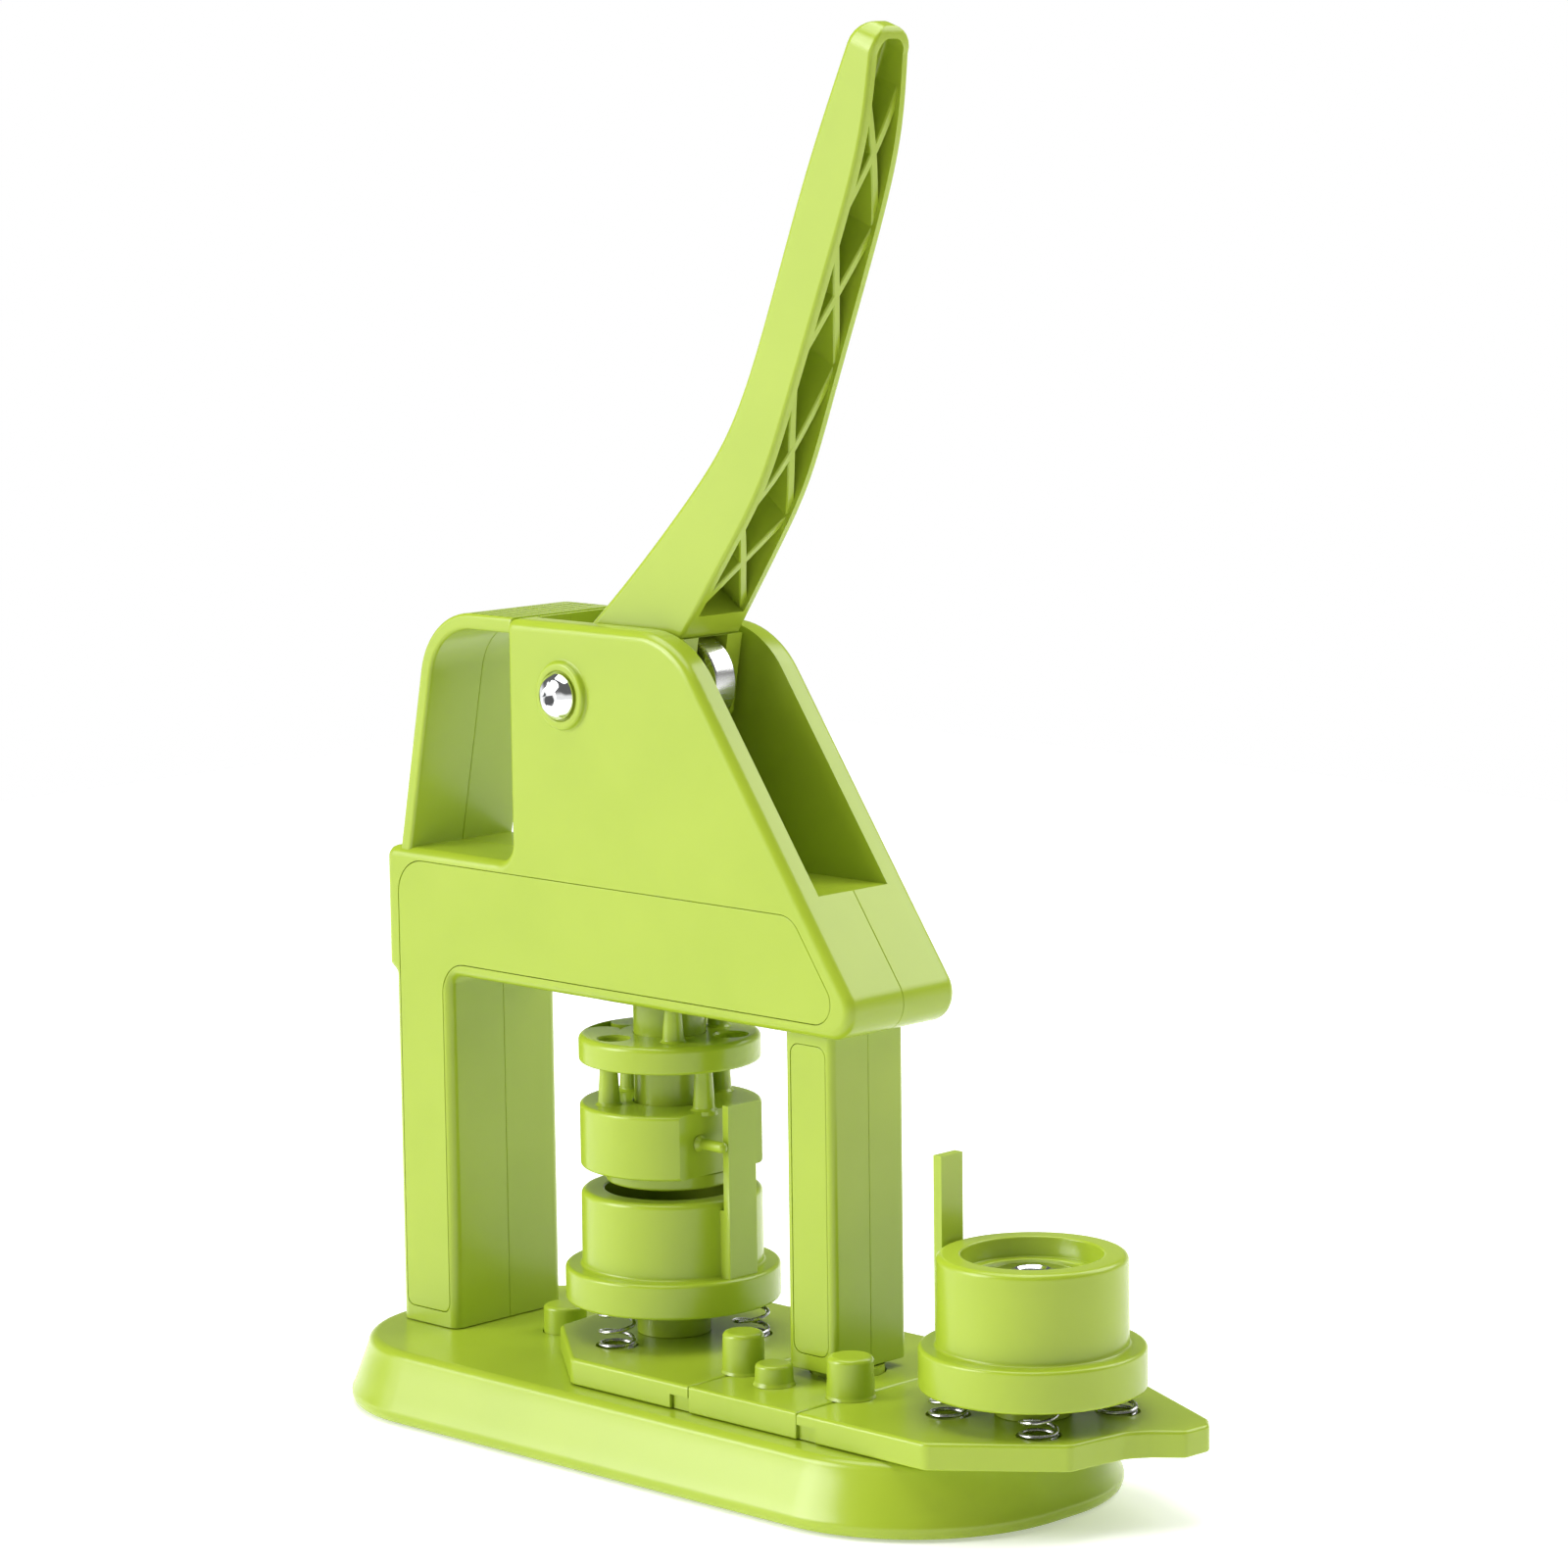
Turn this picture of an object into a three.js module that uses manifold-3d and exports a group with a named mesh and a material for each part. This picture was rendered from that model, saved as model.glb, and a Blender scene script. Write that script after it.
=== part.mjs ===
// Button badge maker: a hand press with a swivelling pair of dies.
// Millimetres, +Z up. The press axis (the ram) is X = 0, Y = 0 and the table is Z = 0.
// +X points to the front, where the lever comes down; -Y is the side with the die-plate pegs.
import * as THREE from 'three';
import { mergeVertices } from 'three/addons/utils/BufferGeometryUtils.js';
import Module from 'manifold-3d';

const wasm = await Module();
wasm.setup();

// ---------------------------------------------------------------- driving dimensions
const GAP = 0.3;                 // clearance between pieces that touch
const SLIDE = 0.35;              // clearance of pieces that turn or slide

// base
const BASE_BACK = -92.5;
const BASE_FRONT = 129.5;
const BASE_HALF = 48;            // half width at its widest
const BASE_TOP = 17.6;
const BASE_CORNER = 32;
const BASE_WALL = 3;
const RIM_LIFT = 0.8;            // the rim hangs this far above the table
const PAD_HALF = 31;
const PAD_BACK = -58;
const PAD_FRONT = 94;
const PAD_THICK = 2;

// frame
const FRAME_HALF = 18.7;         // half width of beam, column and cheeks
const COLUMN_BACK = -80.9;
const COLUMN_FRONT = -60.2;
const BEAM_BACK = -83.4;
const BEAM_BOTTOM = 109.4;
const LEDGE_Z = 140.8;
const CHEEK_BACK = -36.7;
const CHEEK_TOP = 201.8;
const SLANT_X = 63;              // the slanted front passes this X at the slot floor
const SLANT_RUN = 0.693;         // X run for each mm of drop along the slant
const SLOT_FLOOR = 142;
const SHELL_WALL = 2.6;
const PANEL_THICK = 1.4;
const STRAP_THICK = 4;

// lever
const PIVOT_X = -16.5;
const PIVOT_Z = 184.2;
const PIVOT_R = 4;
const BOSS_R = 8.3;
const ROLLER_X = 10.6;
const ROLLER_Z = 188.2;
const ROLLER_R = 11;
const ROLLER_HALF = 3.5;
const ROLLER_PIN_R = 4;
const LEVER_FOOT_HALF = 10.6;
const LEVER_WALL = 2.4;

// ram and collar
const SHAFT_R = 9;
const RETURN_WIRE_R = 0.7;
const RETURN_R = SHAFT_R + RETURN_WIRE_R + 0.65;  // mean radius of the return spring's coil
const SLOT_HALF = RETURN_R + RETURN_WIRE_R + 0.9; // half the space between the cheeks
const DISC_R = 22.6;
const DISC_BOTTOM = 93.3;
const DISC_TOP = 100.1;
const COLLAR_R = 22.55;
const COLLAR_BOTTOM = 67;
const COLLAR_TOP = 83;
const COLLAR_FACET = 17.4;       // the flat on the collar faces +X at this distance
const PUNCH_R = 16.3;
const PUNCH_BOTTOM = 63.2;
const NECK_R = 15.2;             // the part of the punch that the collar turns on

// swivelling die plate
const SWIVEL_X = 59.46;
const DIE_A_X = 2 * SWIVEL_X;
const PLATE_TOP = BASE_TOP + 6.8;
const PLATE_HALF = 36.7;
const SEAM_HALF = 17.85;         // the centre piece ends this far from the swivel axis
const SPINDLE_R = 9;
const SPINDLE_ROD_R = 3.6;
const FRONT_COLUMN_HALF = 7.8;   // half size in X
const FRONT_COLUMN_DEPTH = 12.7; // half size in Y
const FRONT_COLUMN_FOOT = PLATE_TOP + 2.1;
const STOP_X = SWIVEL_X - 98.96; // the tips of the side plates reach this far
const STOP_Y = 0;
const STOP_R = 5.5;
const STOP_TOP = PLATE_TOP + 0.2;

// dies
const RING_R = 22.5;
const BORE_R = 16.7;
const FLANGE_R = 26.8;
const HUB_R = 9.2;
const DIE_FLOOR = 43.6;          // floor of the cup inside a die ring
const BAR_INNER = 23.3;          // a ring's bar clears the collar as the plate swings
const CAP_R = 13.8;              // the head of post A, which enters the hollow punch
const LEDGE_A = 57.7;            // ledge inside die ring A, level with the cap
const SPRING_R = 4.2;            // mean radius of a die spring's coil
const WIRE_R = 0.45;
const SPRING_CIRCLE = 19.8;

// ---------------------------------------------------------------- materials
const plastic = new THREE.MeshStandardMaterial({ color: 0xa9cf3c, roughness: 0.32, metalness: 0 });
const plasticDeep = new THREE.MeshStandardMaterial({ color: 0x9cc433, roughness: 0.35, metalness: 0 });
const chrome = new THREE.MeshStandardMaterial({ color: 0xd8dadd, roughness: 0.14, metalness: 1 });
const steel = new THREE.MeshStandardMaterial({ color: 0xb4b6b8, roughness: 0.3, metalness: 1 });
const rubber = new THREE.MeshStandardMaterial({ color: 0x2a2b2c, roughness: 0.9, metalness: 0 });

// ---------------------------------------------------------------- helpers
const press = new THREE.Group();

function solid(geometry) {
  const bare = geometry.clone();
  for (const name of ['normal', 'uv']) bare.deleteAttribute(name);
  const merged = mergeVertices(bare, 1e-4);
  const position = merged.attributes.position.array;
  const index = merged.index.array;
  const kept = [];
  let volume = 0;
  const a = new THREE.Vector3();
  const b = new THREE.Vector3();
  const c = new THREE.Vector3();
  for (let i = 0; i < index.length; i += 3) {
    const [p, q, r] = [index[i], index[i + 1], index[i + 2]];
    if (p === q || q === r || r === p) continue;
    a.fromArray(position, 3 * p);
    b.fromArray(position, 3 * q);
    c.fromArray(position, 3 * r);
    volume += a.dot(b.cross(c));
    kept.push(p, q, r);
  }
  if (volume < 0) {
    for (let i = 0; i < kept.length; i += 3) [kept[i], kept[i + 1]] = [kept[i + 1], kept[i]];
  }
  return new wasm.Manifold(new wasm.Mesh({
    numProp: 3,
    vertProperties: new Float32Array(position),
    triVerts: new Uint32Array(kept),
  }));
}

function add(name, body, material) {
  const { vertProperties, triVerts } = body.getMesh();
  const geometry = new THREE.BufferGeometry();
  geometry.setAttribute('position', new THREE.BufferAttribute(new Float32Array(vertProperties), 3));
  geometry.setIndex(new THREE.BufferAttribute(new Uint32Array(triVerts), 1));
  geometry.computeVertexNormals();
  const mesh = new THREE.Mesh(geometry, material);
  mesh.name = name;
  press.add(mesh);
}

const polar = (radius, degrees) => {
  const angle = THREE.MathUtils.degToRad(degrees);
  return [radius * Math.cos(angle), radius * Math.sin(angle)];
};

const join = (...bodies) => bodies.reduce((sum, body) => sum.add(body));
const cut = (body, ...tools) => tools.reduce((rest, tool) => rest.subtract(tool), body);

// A closed outline from [x, y, radius] corners; a corner with a radius becomes an arc.
function roundedOutline(corners, step = 22) {
  const points = [];
  corners.forEach(([x, y, radius = 0], i) => {
    const here = new THREE.Vector2(x, y);
    if (!radius) return points.push(here);
    const before = new THREE.Vector2(...corners.at(i - 1).slice(0, 2)).sub(here).normalize();
    const after = new THREE.Vector2(...corners[(i + 1) % corners.length].slice(0, 2)).sub(here).normalize();
    const half = Math.acos(THREE.MathUtils.clamp(before.dot(after), -1, 1)) / 2;
    const centre = before.clone().add(after).normalize().multiplyScalar(radius / Math.sin(half)).add(here);
    const start = before.clone().multiplyScalar(radius / Math.tan(half)).add(here).sub(centre);
    const sweep = (Math.PI - 2 * half) * Math.sign(before.cross(after));
    const steps = Math.max(1, Math.round(Math.abs(sweep) / THREE.MathUtils.degToRad(step)));
    for (let k = 0; k <= steps; k += 1) {
      points.push(start.clone().rotateAround(new THREE.Vector2(), -sweep * k / steps).add(centre));
    }
  });
  return points;
}

const shapeOf = (corners, step) => new THREE.Shape(roundedOutline(corners, step));

function extrude(shape, depth, bevel) {
  const options = { depth, bevelEnabled: false, curveSegments: 12 };
  if (bevel) {
    Object.assign(options, {
      depth: depth - 2 * bevel, bevelEnabled: true, bevelThickness: bevel,
      bevelSize: bevel, bevelOffset: -bevel, bevelSegments: 1,
    });
  }
  const geometry = new THREE.ExtrudeGeometry(shape, options);
  if (bevel) geometry.translate(0, 0, bevel);
  return geometry;
}

// A plan outline (X, Y) standing from z0 to z1.
const standing = (shape, z0, z1, bevel = 0) => solid(extrude(shape, z1 - z0, bevel).translate(0, 0, z0));

// A side outline (X, Z) running from y0 to y1.
const across = (shape, y0, y1, bevel = 0) => (
  solid(extrude(shape, y1 - y0, bevel).rotateX(Math.PI / 2).translate(0, y1, 0))
);

const block = (x0, x1, y0, y1, z0, z1) => (
  solid(new THREE.BoxGeometry(x1 - x0, y1 - y0, z1 - z0)
    .translate((x0 + x1) / 2, (y0 + y1) / 2, (z0 + z1) / 2))
);

// A profile of [radius, z] points turned about the vertical line through (x, y).
function turned(profile, x = 0, y = 0, segments = 28) {
  const points = profile.map(([r, z]) => new THREE.Vector2(r, z));
  if (profile[0][0] > 0) points.push(points[0].clone());
  return solid(new THREE.LatheGeometry(points, segments).rotateX(Math.PI / 2).translate(x, y, 0));
}

const rod = (radius, z0, z1, x = 0, y = 0, segments = 20) => (
  turned([[0, z0], [radius, z0], [radius, z1], [0, z1]], x, y, segments)
);

const cone = (r0, r1, z0, z1, x, y, segments = 12) => (
  turned([[0, z0], [r0, z0], [r1, z1], [0, z1]], x, y, segments)
);

// A profile of [radius, y] points turned about the line along Y through (x, z).
function turnedAcross(profile, x, z, segments = 20) {
  const points = profile.map(([r, y]) => new THREE.Vector2(r, y));
  if (profile[0][0] > 0) points.push(points[0].clone());
  return solid(new THREE.LatheGeometry(points, segments).translate(x, 0, z));
}

const axle = (radius, y0, y1, x, z, segments = 20) => (
  turnedAcross([[0, y0], [radius, y0], [radius, y1], [0, y1]], x, z, segments)
);

// Rings of Vector3 points, each ring convex and all of one length, skinned and capped.
function loft(rings) {
  const count = rings[0].length;
  const positions = rings.flat().flatMap((p) => [p.x, p.y, p.z]);
  const index = [];
  for (let i = 0; i + 1 < rings.length; i += 1) {
    for (let k = 0; k < count; k += 1) {
      const [a, b] = [i * count + k, i * count + (k + 1) % count];
      index.push(a, b, a + count, b, b + count, a + count);
    }
  }
  const last = (rings.length - 1) * count;
  for (let k = 1; k + 1 < count; k += 1) {
    index.push(0, k + 1, k, last, last + k, last + k + 1);
  }
  const geometry = new THREE.BufferGeometry();
  geometry.setAttribute('position', new THREE.Float32BufferAttribute(positions, 3));
  geometry.setIndex(index);
  return solid(geometry.toNonIndexed());
}

// A coil spring: a wire with a short flat turn at each end.
function coil(meanRadius, wireRadius, z0, z1, turns, x, y, steps = 7) {
  class Helix extends THREE.Curve {
    getPoint(t, target = new THREE.Vector3()) {
      const angle = 2 * Math.PI * turns * t;
      const low = z0 + wireRadius;
      const high = z1 - wireRadius;
      const rise = THREE.MathUtils.clamp((t * turns - 0.7) / (turns - 1.4), 0, 1);
      const flat = 2.4 * wireRadius;
      const end = Math.min(t * turns / 0.7, 1) - Math.min((1 - t) * turns / 0.7, 1);
      const z = low + flat / 2 + (high - low - flat) * rise + flat / 2 * end;
      return target.set(x + meanRadius * Math.cos(angle), y + meanRadius * Math.sin(angle), z);
    }
  }
  const section = new THREE.Shape();
  section.absarc(0, 0, wireRadius, 0, 2 * Math.PI);
  return solid(new THREE.ExtrudeGeometry(section, {
    steps: Math.round(turns * steps), curveSegments: 2, extrudePath: new Helix(),
  }));
}

// A pan-head screw standing along Z: head at the bottom, point at the top.
const screwUp = (x, y, headZ, headR, headH, shankR, tip) => cut(
  turned([
    [0, headZ], [headR * 0.8, headZ], [headR, headZ + headH * 0.4], [headR, headZ + headH],
    [shankR, headZ + headH], [shankR, tip - shankR], [0, tip],
  ], x, y, 10),
  block(x - headR * 0.6, x + headR * 0.6, y - 0.35, y + 0.35, headZ - 1, headZ + headH * 0.4),
);

// ---------------------------------------------------------------- base
function baseOutline(inset, z) {
  const corner = Math.max(BASE_CORNER - inset, 2);
  const [x0, x1, y1] = [BASE_BACK + inset, BASE_FRONT - inset, BASE_HALF - inset];
  const corners = [[x0, -y1, corner], [x1, -y1, corner], [x1, y1, corner], [x0, y1, corner]];
  return roundedOutline(corners, 18).map((p) => new THREE.Vector3(p.x, p.y, z));
}

const COVER_SCREWS = [[-70, -29], [-70, 29], [107, -29], [107, 29]];
const FOOT_SCREW_X = (COLUMN_BACK + COLUMN_FRONT) / 2;
const FOOT_SCREW_Y = 10;
const SCREW_R = 1.5;
const HEAD_R = 3;
const COVER_TOP = 3.8;

function buildBase() {
  const outer = loft([
    baseOutline(0.9, RIM_LIFT), baseOutline(0, RIM_LIFT + 2.8), baseOutline(4.6, BASE_TOP - 1.7),
    baseOutline(5.3, BASE_TOP - 0.6), baseOutline(6.6, BASE_TOP),
  ]);
  const roof = BASE_TOP - BASE_WALL;
  const hollow = loft([
    baseOutline(BASE_WALL + 0.9, RIM_LIFT - 1), baseOutline(BASE_WALL + 0.9, COVER_TOP),
    baseOutline(BASE_WALL + 4.8, roof),
  ]);
  const bosses = [
    ...COVER_SCREWS.map(([x, y]) => rod(4.2, COVER_TOP + GAP, roof + 1, x, y, 16)),
    rod(SPINDLE_R + 2, 9.5, roof + 1, SWIVEL_X, 0, 24),
    rod(STOP_R + 2, 8, roof + 1, STOP_X, STOP_Y, 24),
    block(PAD_BACK, PAD_FRONT, -0.9, 0.9, 10, roof + 1),
    ...[-1, 1].map((side) => block(PAD_BACK, PAD_FRONT, side * 22 - 0.9, side * 22 + 0.9, 10, roof + 1)),
  ];
  const holes = [
    ...COVER_SCREWS.map(([x, y]) => rod(SCREW_R + GAP, 0, 13.4, x, y, 12)),
    ...[-1, 1].map((side) => rod(SCREW_R + GAP, 0, BASE_TOP + 3, FOOT_SCREW_X, side * FOOT_SCREW_Y, 16)),
    rod(SPINDLE_ROD_R + GAP, 0, BASE_TOP + 3, SWIVEL_X, 0, 24),
    rod(STOP_R - 1.4 + GAP, 0, BASE_TOP + 3, STOP_X, STOP_Y, 24),
  ];
  add('base_shell', cut(join(cut(outer, hollow), ...bosses), ...holes), plastic);

  const pocket = [[PAD_BACK, 1], [PAD_FRONT, 1]];
  const padShape = (grow) => shapeOf([
    [pocket[0][0] - grow, -PAD_HALF - grow, 14 + grow], [pocket[1][0] + grow, -PAD_HALF - grow, 14 + grow],
    [pocket[1][0] + grow, PAD_HALF + grow, 14 + grow], [pocket[0][0] - grow, PAD_HALF + grow, 14 + grow],
  ]);
  const coverInset = BASE_WALL + 0.9 + GAP;
  const cover = loft([baseOutline(coverInset, RIM_LIFT + 0.3), baseOutline(coverInset, COVER_TOP)]);
  add('base_cover', cut(
    cover,
    standing(padShape(GAP), -1, PAD_THICK + GAP),
    ...COVER_SCREWS.map(([x, y]) => rod(SCREW_R + GAP, 0, 5, x, y, 12)),
    ...COVER_SCREWS.map(([x, y]) => rod(HEAD_R + GAP, 0, 2.9, x, y, 16)),
  ), plasticDeep);
  add('grip_pad', standing(padShape(0), 0, PAD_THICK), rubber);
  COVER_SCREWS.forEach(([x, y], i) => (
    add(`cover_screw_${i + 1}`, screwUp(x, y, 1.2, HEAD_R, 1.4, SCREW_R, 12.6), steel)
  ));
  for (const [name, side] of [['near', -1], ['far', 1]]) {
    add(
      `foot_screw_${name}`,
      screwUp(FOOT_SCREW_X, side * FOOT_SCREW_Y, roof - GAP - 2, HEAD_R, 2, SCREW_R, BASE_TOP + 12.4),
      steel,
    );
  }
  add('stop_post', turned([
    [0, 9], [STOP_R - 1.4, 9], [STOP_R - 1.4, BASE_TOP + GAP], [STOP_R, BASE_TOP + GAP],
    [STOP_R, STOP_TOP - 1.1], [STOP_R - 0.9, STOP_TOP - 0.2], [0, STOP_TOP],
  ], STOP_X, STOP_Y, 20), plastic);
}

// ---------------------------------------------------------------- frame
const slantAt = (z, inset = 0) => SLANT_X - inset + (SLOT_FLOOR - z) * SLANT_RUN;
const NOSE_TIP = slantAt(BEAM_BOTTOM);

function frameShape() {
  return shapeOf([
    [COLUMN_BACK, BASE_TOP + GAP], [COLUMN_FRONT, BASE_TOP + GAP],
    [COLUMN_FRONT, BEAM_BOTTOM, 2.5], [NOSE_TIP, BEAM_BOTTOM, 7.2],
    [slantAt(CHEEK_TOP), CHEEK_TOP, 24], [CHEEK_BACK, CHEEK_TOP, 2.6],
    [CHEEK_BACK, LEDGE_Z, 5], [BEAM_BACK, LEDGE_Z, 3.2],
    [BEAM_BACK, BEAM_BOTTOM + 0.4], [COLUMN_BACK, BEAM_BOTTOM - 1.6],
  ], 22);
}

// The carrying strap: a band from the ledge up and over to the cheeks.
function strapShape() {
  const foot = BEAM_BACK + 6.6;
  const lean = 0.163;            // the rear of the strap leans in this much for each mm up
  const top = CHEEK_TOP + 0.2;
  const low = LEDGE_Z - 2;
  const outerTop = foot + lean * (top - low);
  const innerFoot = foot + STRAP_THICK;
  const innerTop = innerFoot + lean * (top - STRAP_THICK - low);
  return shapeOf([
    [foot, low], [innerFoot, low], [innerTop, top - STRAP_THICK, 15],
    [CHEEK_BACK + 1.5, top - STRAP_THICK], [CHEEK_BACK + 1.5, top], [outerTop, top, 19],
  ], 18);
}

// The inset trim panel: column leg, beam band and slanted end.
function panelShape(shrink) {
  const column = 2.4 + shrink;
  const slant = 5.6 + shrink;
  const low = BEAM_BOTTOM + 3.4 + shrink;
  const high = LEDGE_Z - 3 - shrink;
  return shapeOf([
    [COLUMN_BACK + column, BASE_TOP + 4.2 + shrink, 2.4],
    [COLUMN_FRONT - column, BASE_TOP + 4.2 + shrink, 2.4],
    [COLUMN_FRONT - column, low, 8], [slantAt(low, slant), low, 5.4],
    [slantAt(high, slant), high, 7], [COLUMN_BACK + column, high, 9],
  ], 30);
}

const FRAME_SCREWS = [[-71, 60], [-71, 124], [-45, 125], [38, 124]];
const GUIDE_PINS = [-41, 74].map((angle) => polar(RETURN_R + RETURN_WIRE_R + 2.8, angle));
const SPRING_SEAT = 120;
const SPRING_BORE = RETURN_R + RETURN_WIRE_R + SLIDE;

function buildFrame() {
  const outline = frameShape();
  let body = join(
    across(outline, -FRAME_HALF, FRAME_HALF, 2.4),
    across(strapShape(), -FRAME_HALF, FRAME_HALF, 0.9),
  );
  const slotBack = CHEEK_BACK + 4;
  const frontPast = NOSE_TIP + 5;
  const slot = across(shapeOf([
    [slotBack, SLOT_FLOOR, 3], [frontPast, SLOT_FLOOR], [frontPast, CHEEK_TOP + 10],
    [slotBack, CHEEK_TOP + 10],
  ]), -SLOT_HALF, SLOT_HALF);
  const ribs = [];
  for (let i = 0; i < 7; i += 1) {
    const x = -58 + i * 4;
    ribs.push(block(x, x + 1.2, -FRAME_HALF + 2, FRAME_HALF - 2, CHEEK_TOP - 0.3, CHEEK_TOP + 3));
  }
  // inside the column and the beam, kept off the ram's guide
  const inner = FRAME_HALF - PANEL_THICK - GAP - SHELL_WALL;
  const columnRoom = across(shapeOf([
    [COLUMN_BACK + SHELL_WALL, BASE_TOP + 16.4], [COLUMN_FRONT - SHELL_WALL, BASE_TOP + 16.4],
    [COLUMN_FRONT - SHELL_WALL, BEAM_BOTTOM - 2], [COLUMN_BACK + SHELL_WALL, BEAM_BOTTOM - 2],
  ]), -inner, inner);
  const beamRoom = (x0, x1) => block(x0, x1, -inner, inner, BEAM_BOTTOM + SHELL_WALL, LEDGE_Z - SHELL_WALL);
  const bosses = [
    ...[-1, 1].map((side) => turnedAcross(
      [[0, side * (FRAME_HALF - 1)], [BOSS_R, side * (FRAME_HALF - 1)], [BOSS_R, side * (FRAME_HALF + 0.7)],
        [BOSS_R - 0.7, side * (FRAME_HALF + 1.5)], [0, side * (FRAME_HALF + 1.5)]],
      PIVOT_X, PIVOT_Z,
    )),
  ];
  body = cut(
    body, slot, columnRoom, beamRoom(BEAM_BACK + SHELL_WALL, -22), beamRoom(22, 48), ...ribs,
    across(panelShape(-GAP), -FRAME_HALF - 1, -FRAME_HALF + PANEL_THICK + GAP),
    across(panelShape(-GAP), FRAME_HALF - PANEL_THICK - GAP, FRAME_HALF + 1),
  );
  body = join(body, ...bosses, ...FRAME_SCREWS.map(([x, z]) => axle(4, -inner - 1, inner + 1, x, z, 12)));
  body = cut(
    body,
    rod(SHAFT_R + SLIDE, BEAM_BOTTOM - 1, SLOT_FLOOR + 1, 0, 0, 28),
    rod(SPRING_BORE, SPRING_SEAT, SLOT_FLOOR + 1, 0, 0, 28),
    ...GUIDE_PINS.map(([x, y]) => rod(2.5, BEAM_BOTTOM - 1, 131, x, y, 12)),
    ...[-1, 1].map((side) => (
      rod(SCREW_R + GAP, BASE_TOP, BASE_TOP + 13.4, FOOT_SCREW_X, side * FOOT_SCREW_Y, 16)
    )),
    rod(SPINDLE_ROD_R + GAP, BEAM_BOTTOM - 1, 127, SWIVEL_X, 0, 24),
    axle(PIVOT_R + GAP, -FRAME_HALF - 3, FRAME_HALF + 3, PIVOT_X, PIVOT_Z),
    ...FRAME_SCREWS.map(([x, z]) => axle(SCREW_R + GAP, -11.5, FRAME_HALF + 3, x, z, 12)),
    ...FRAME_SCREWS.map(([x, z]) => axle(HEAD_R + GAP, 13.5, FRAME_HALF + 3, x, z, 16)),
  );
  const half = GAP / 2;
  add('frame_near_half', body.subtract(block(-200, 200, -half, 60, 0, 300)), plastic);
  add('frame_far_half', body.subtract(block(-200, 200, -60, half, 0, 300)), plastic);
  add('side_panel_near', across(panelShape(0), -FRAME_HALF, -FRAME_HALF + PANEL_THICK), plastic);
  add('side_panel_far', across(panelShape(0), FRAME_HALF - PANEL_THICK, FRAME_HALF), plastic);
  FRAME_SCREWS.forEach(([x, z], i) => add(`frame_screw_${i + 1}`, cut(
    turnedAcross([
      [0, -10.8], [SCREW_R, -9.4], [SCREW_R, 13.8], [HEAD_R, 13.8], [HEAD_R, 15.6],
      [HEAD_R * 0.8, 16.4], [0, 16.4],
    ], x, z, 10),
    block(x - 1.8, x + 1.8, 15.6, 18, z - 0.35, z + 0.35),
  ), steel));
}

function buildPivot() {
  const headBase = -(FRAME_HALF + 1.5 + GAP);
  const head = turnedAcross([
    [0, headBase - 2.9], [2.6, headBase - 2.8], [4.9, headBase - 1.8], [5.8, headBase],
    [PIVOT_R, headBase], [PIVOT_R, FRAME_HALF + 5.4], [PIVOT_R - 0.8, FRAME_HALF + 6.2],
    [0, FRAME_HALF + 6.2],
  ], PIVOT_X, PIVOT_Z, 28);
  add('pivot_bolt', cut(head, axle(2.3, headBase - 4, headBase - 0.7, PIVOT_X, PIVOT_Z, 6)), chrome);
  const nutBase = FRAME_HALF + 1.5 + GAP;
  add('pivot_nut', cut(
    axle(7, nutBase, nutBase + 4, PIVOT_X, PIVOT_Z, 6),
    axle(PIVOT_R + GAP, nutBase - 1, nutBase + 6, PIVOT_X, PIVOT_Z, 24),
  ), chrome);
}

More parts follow.
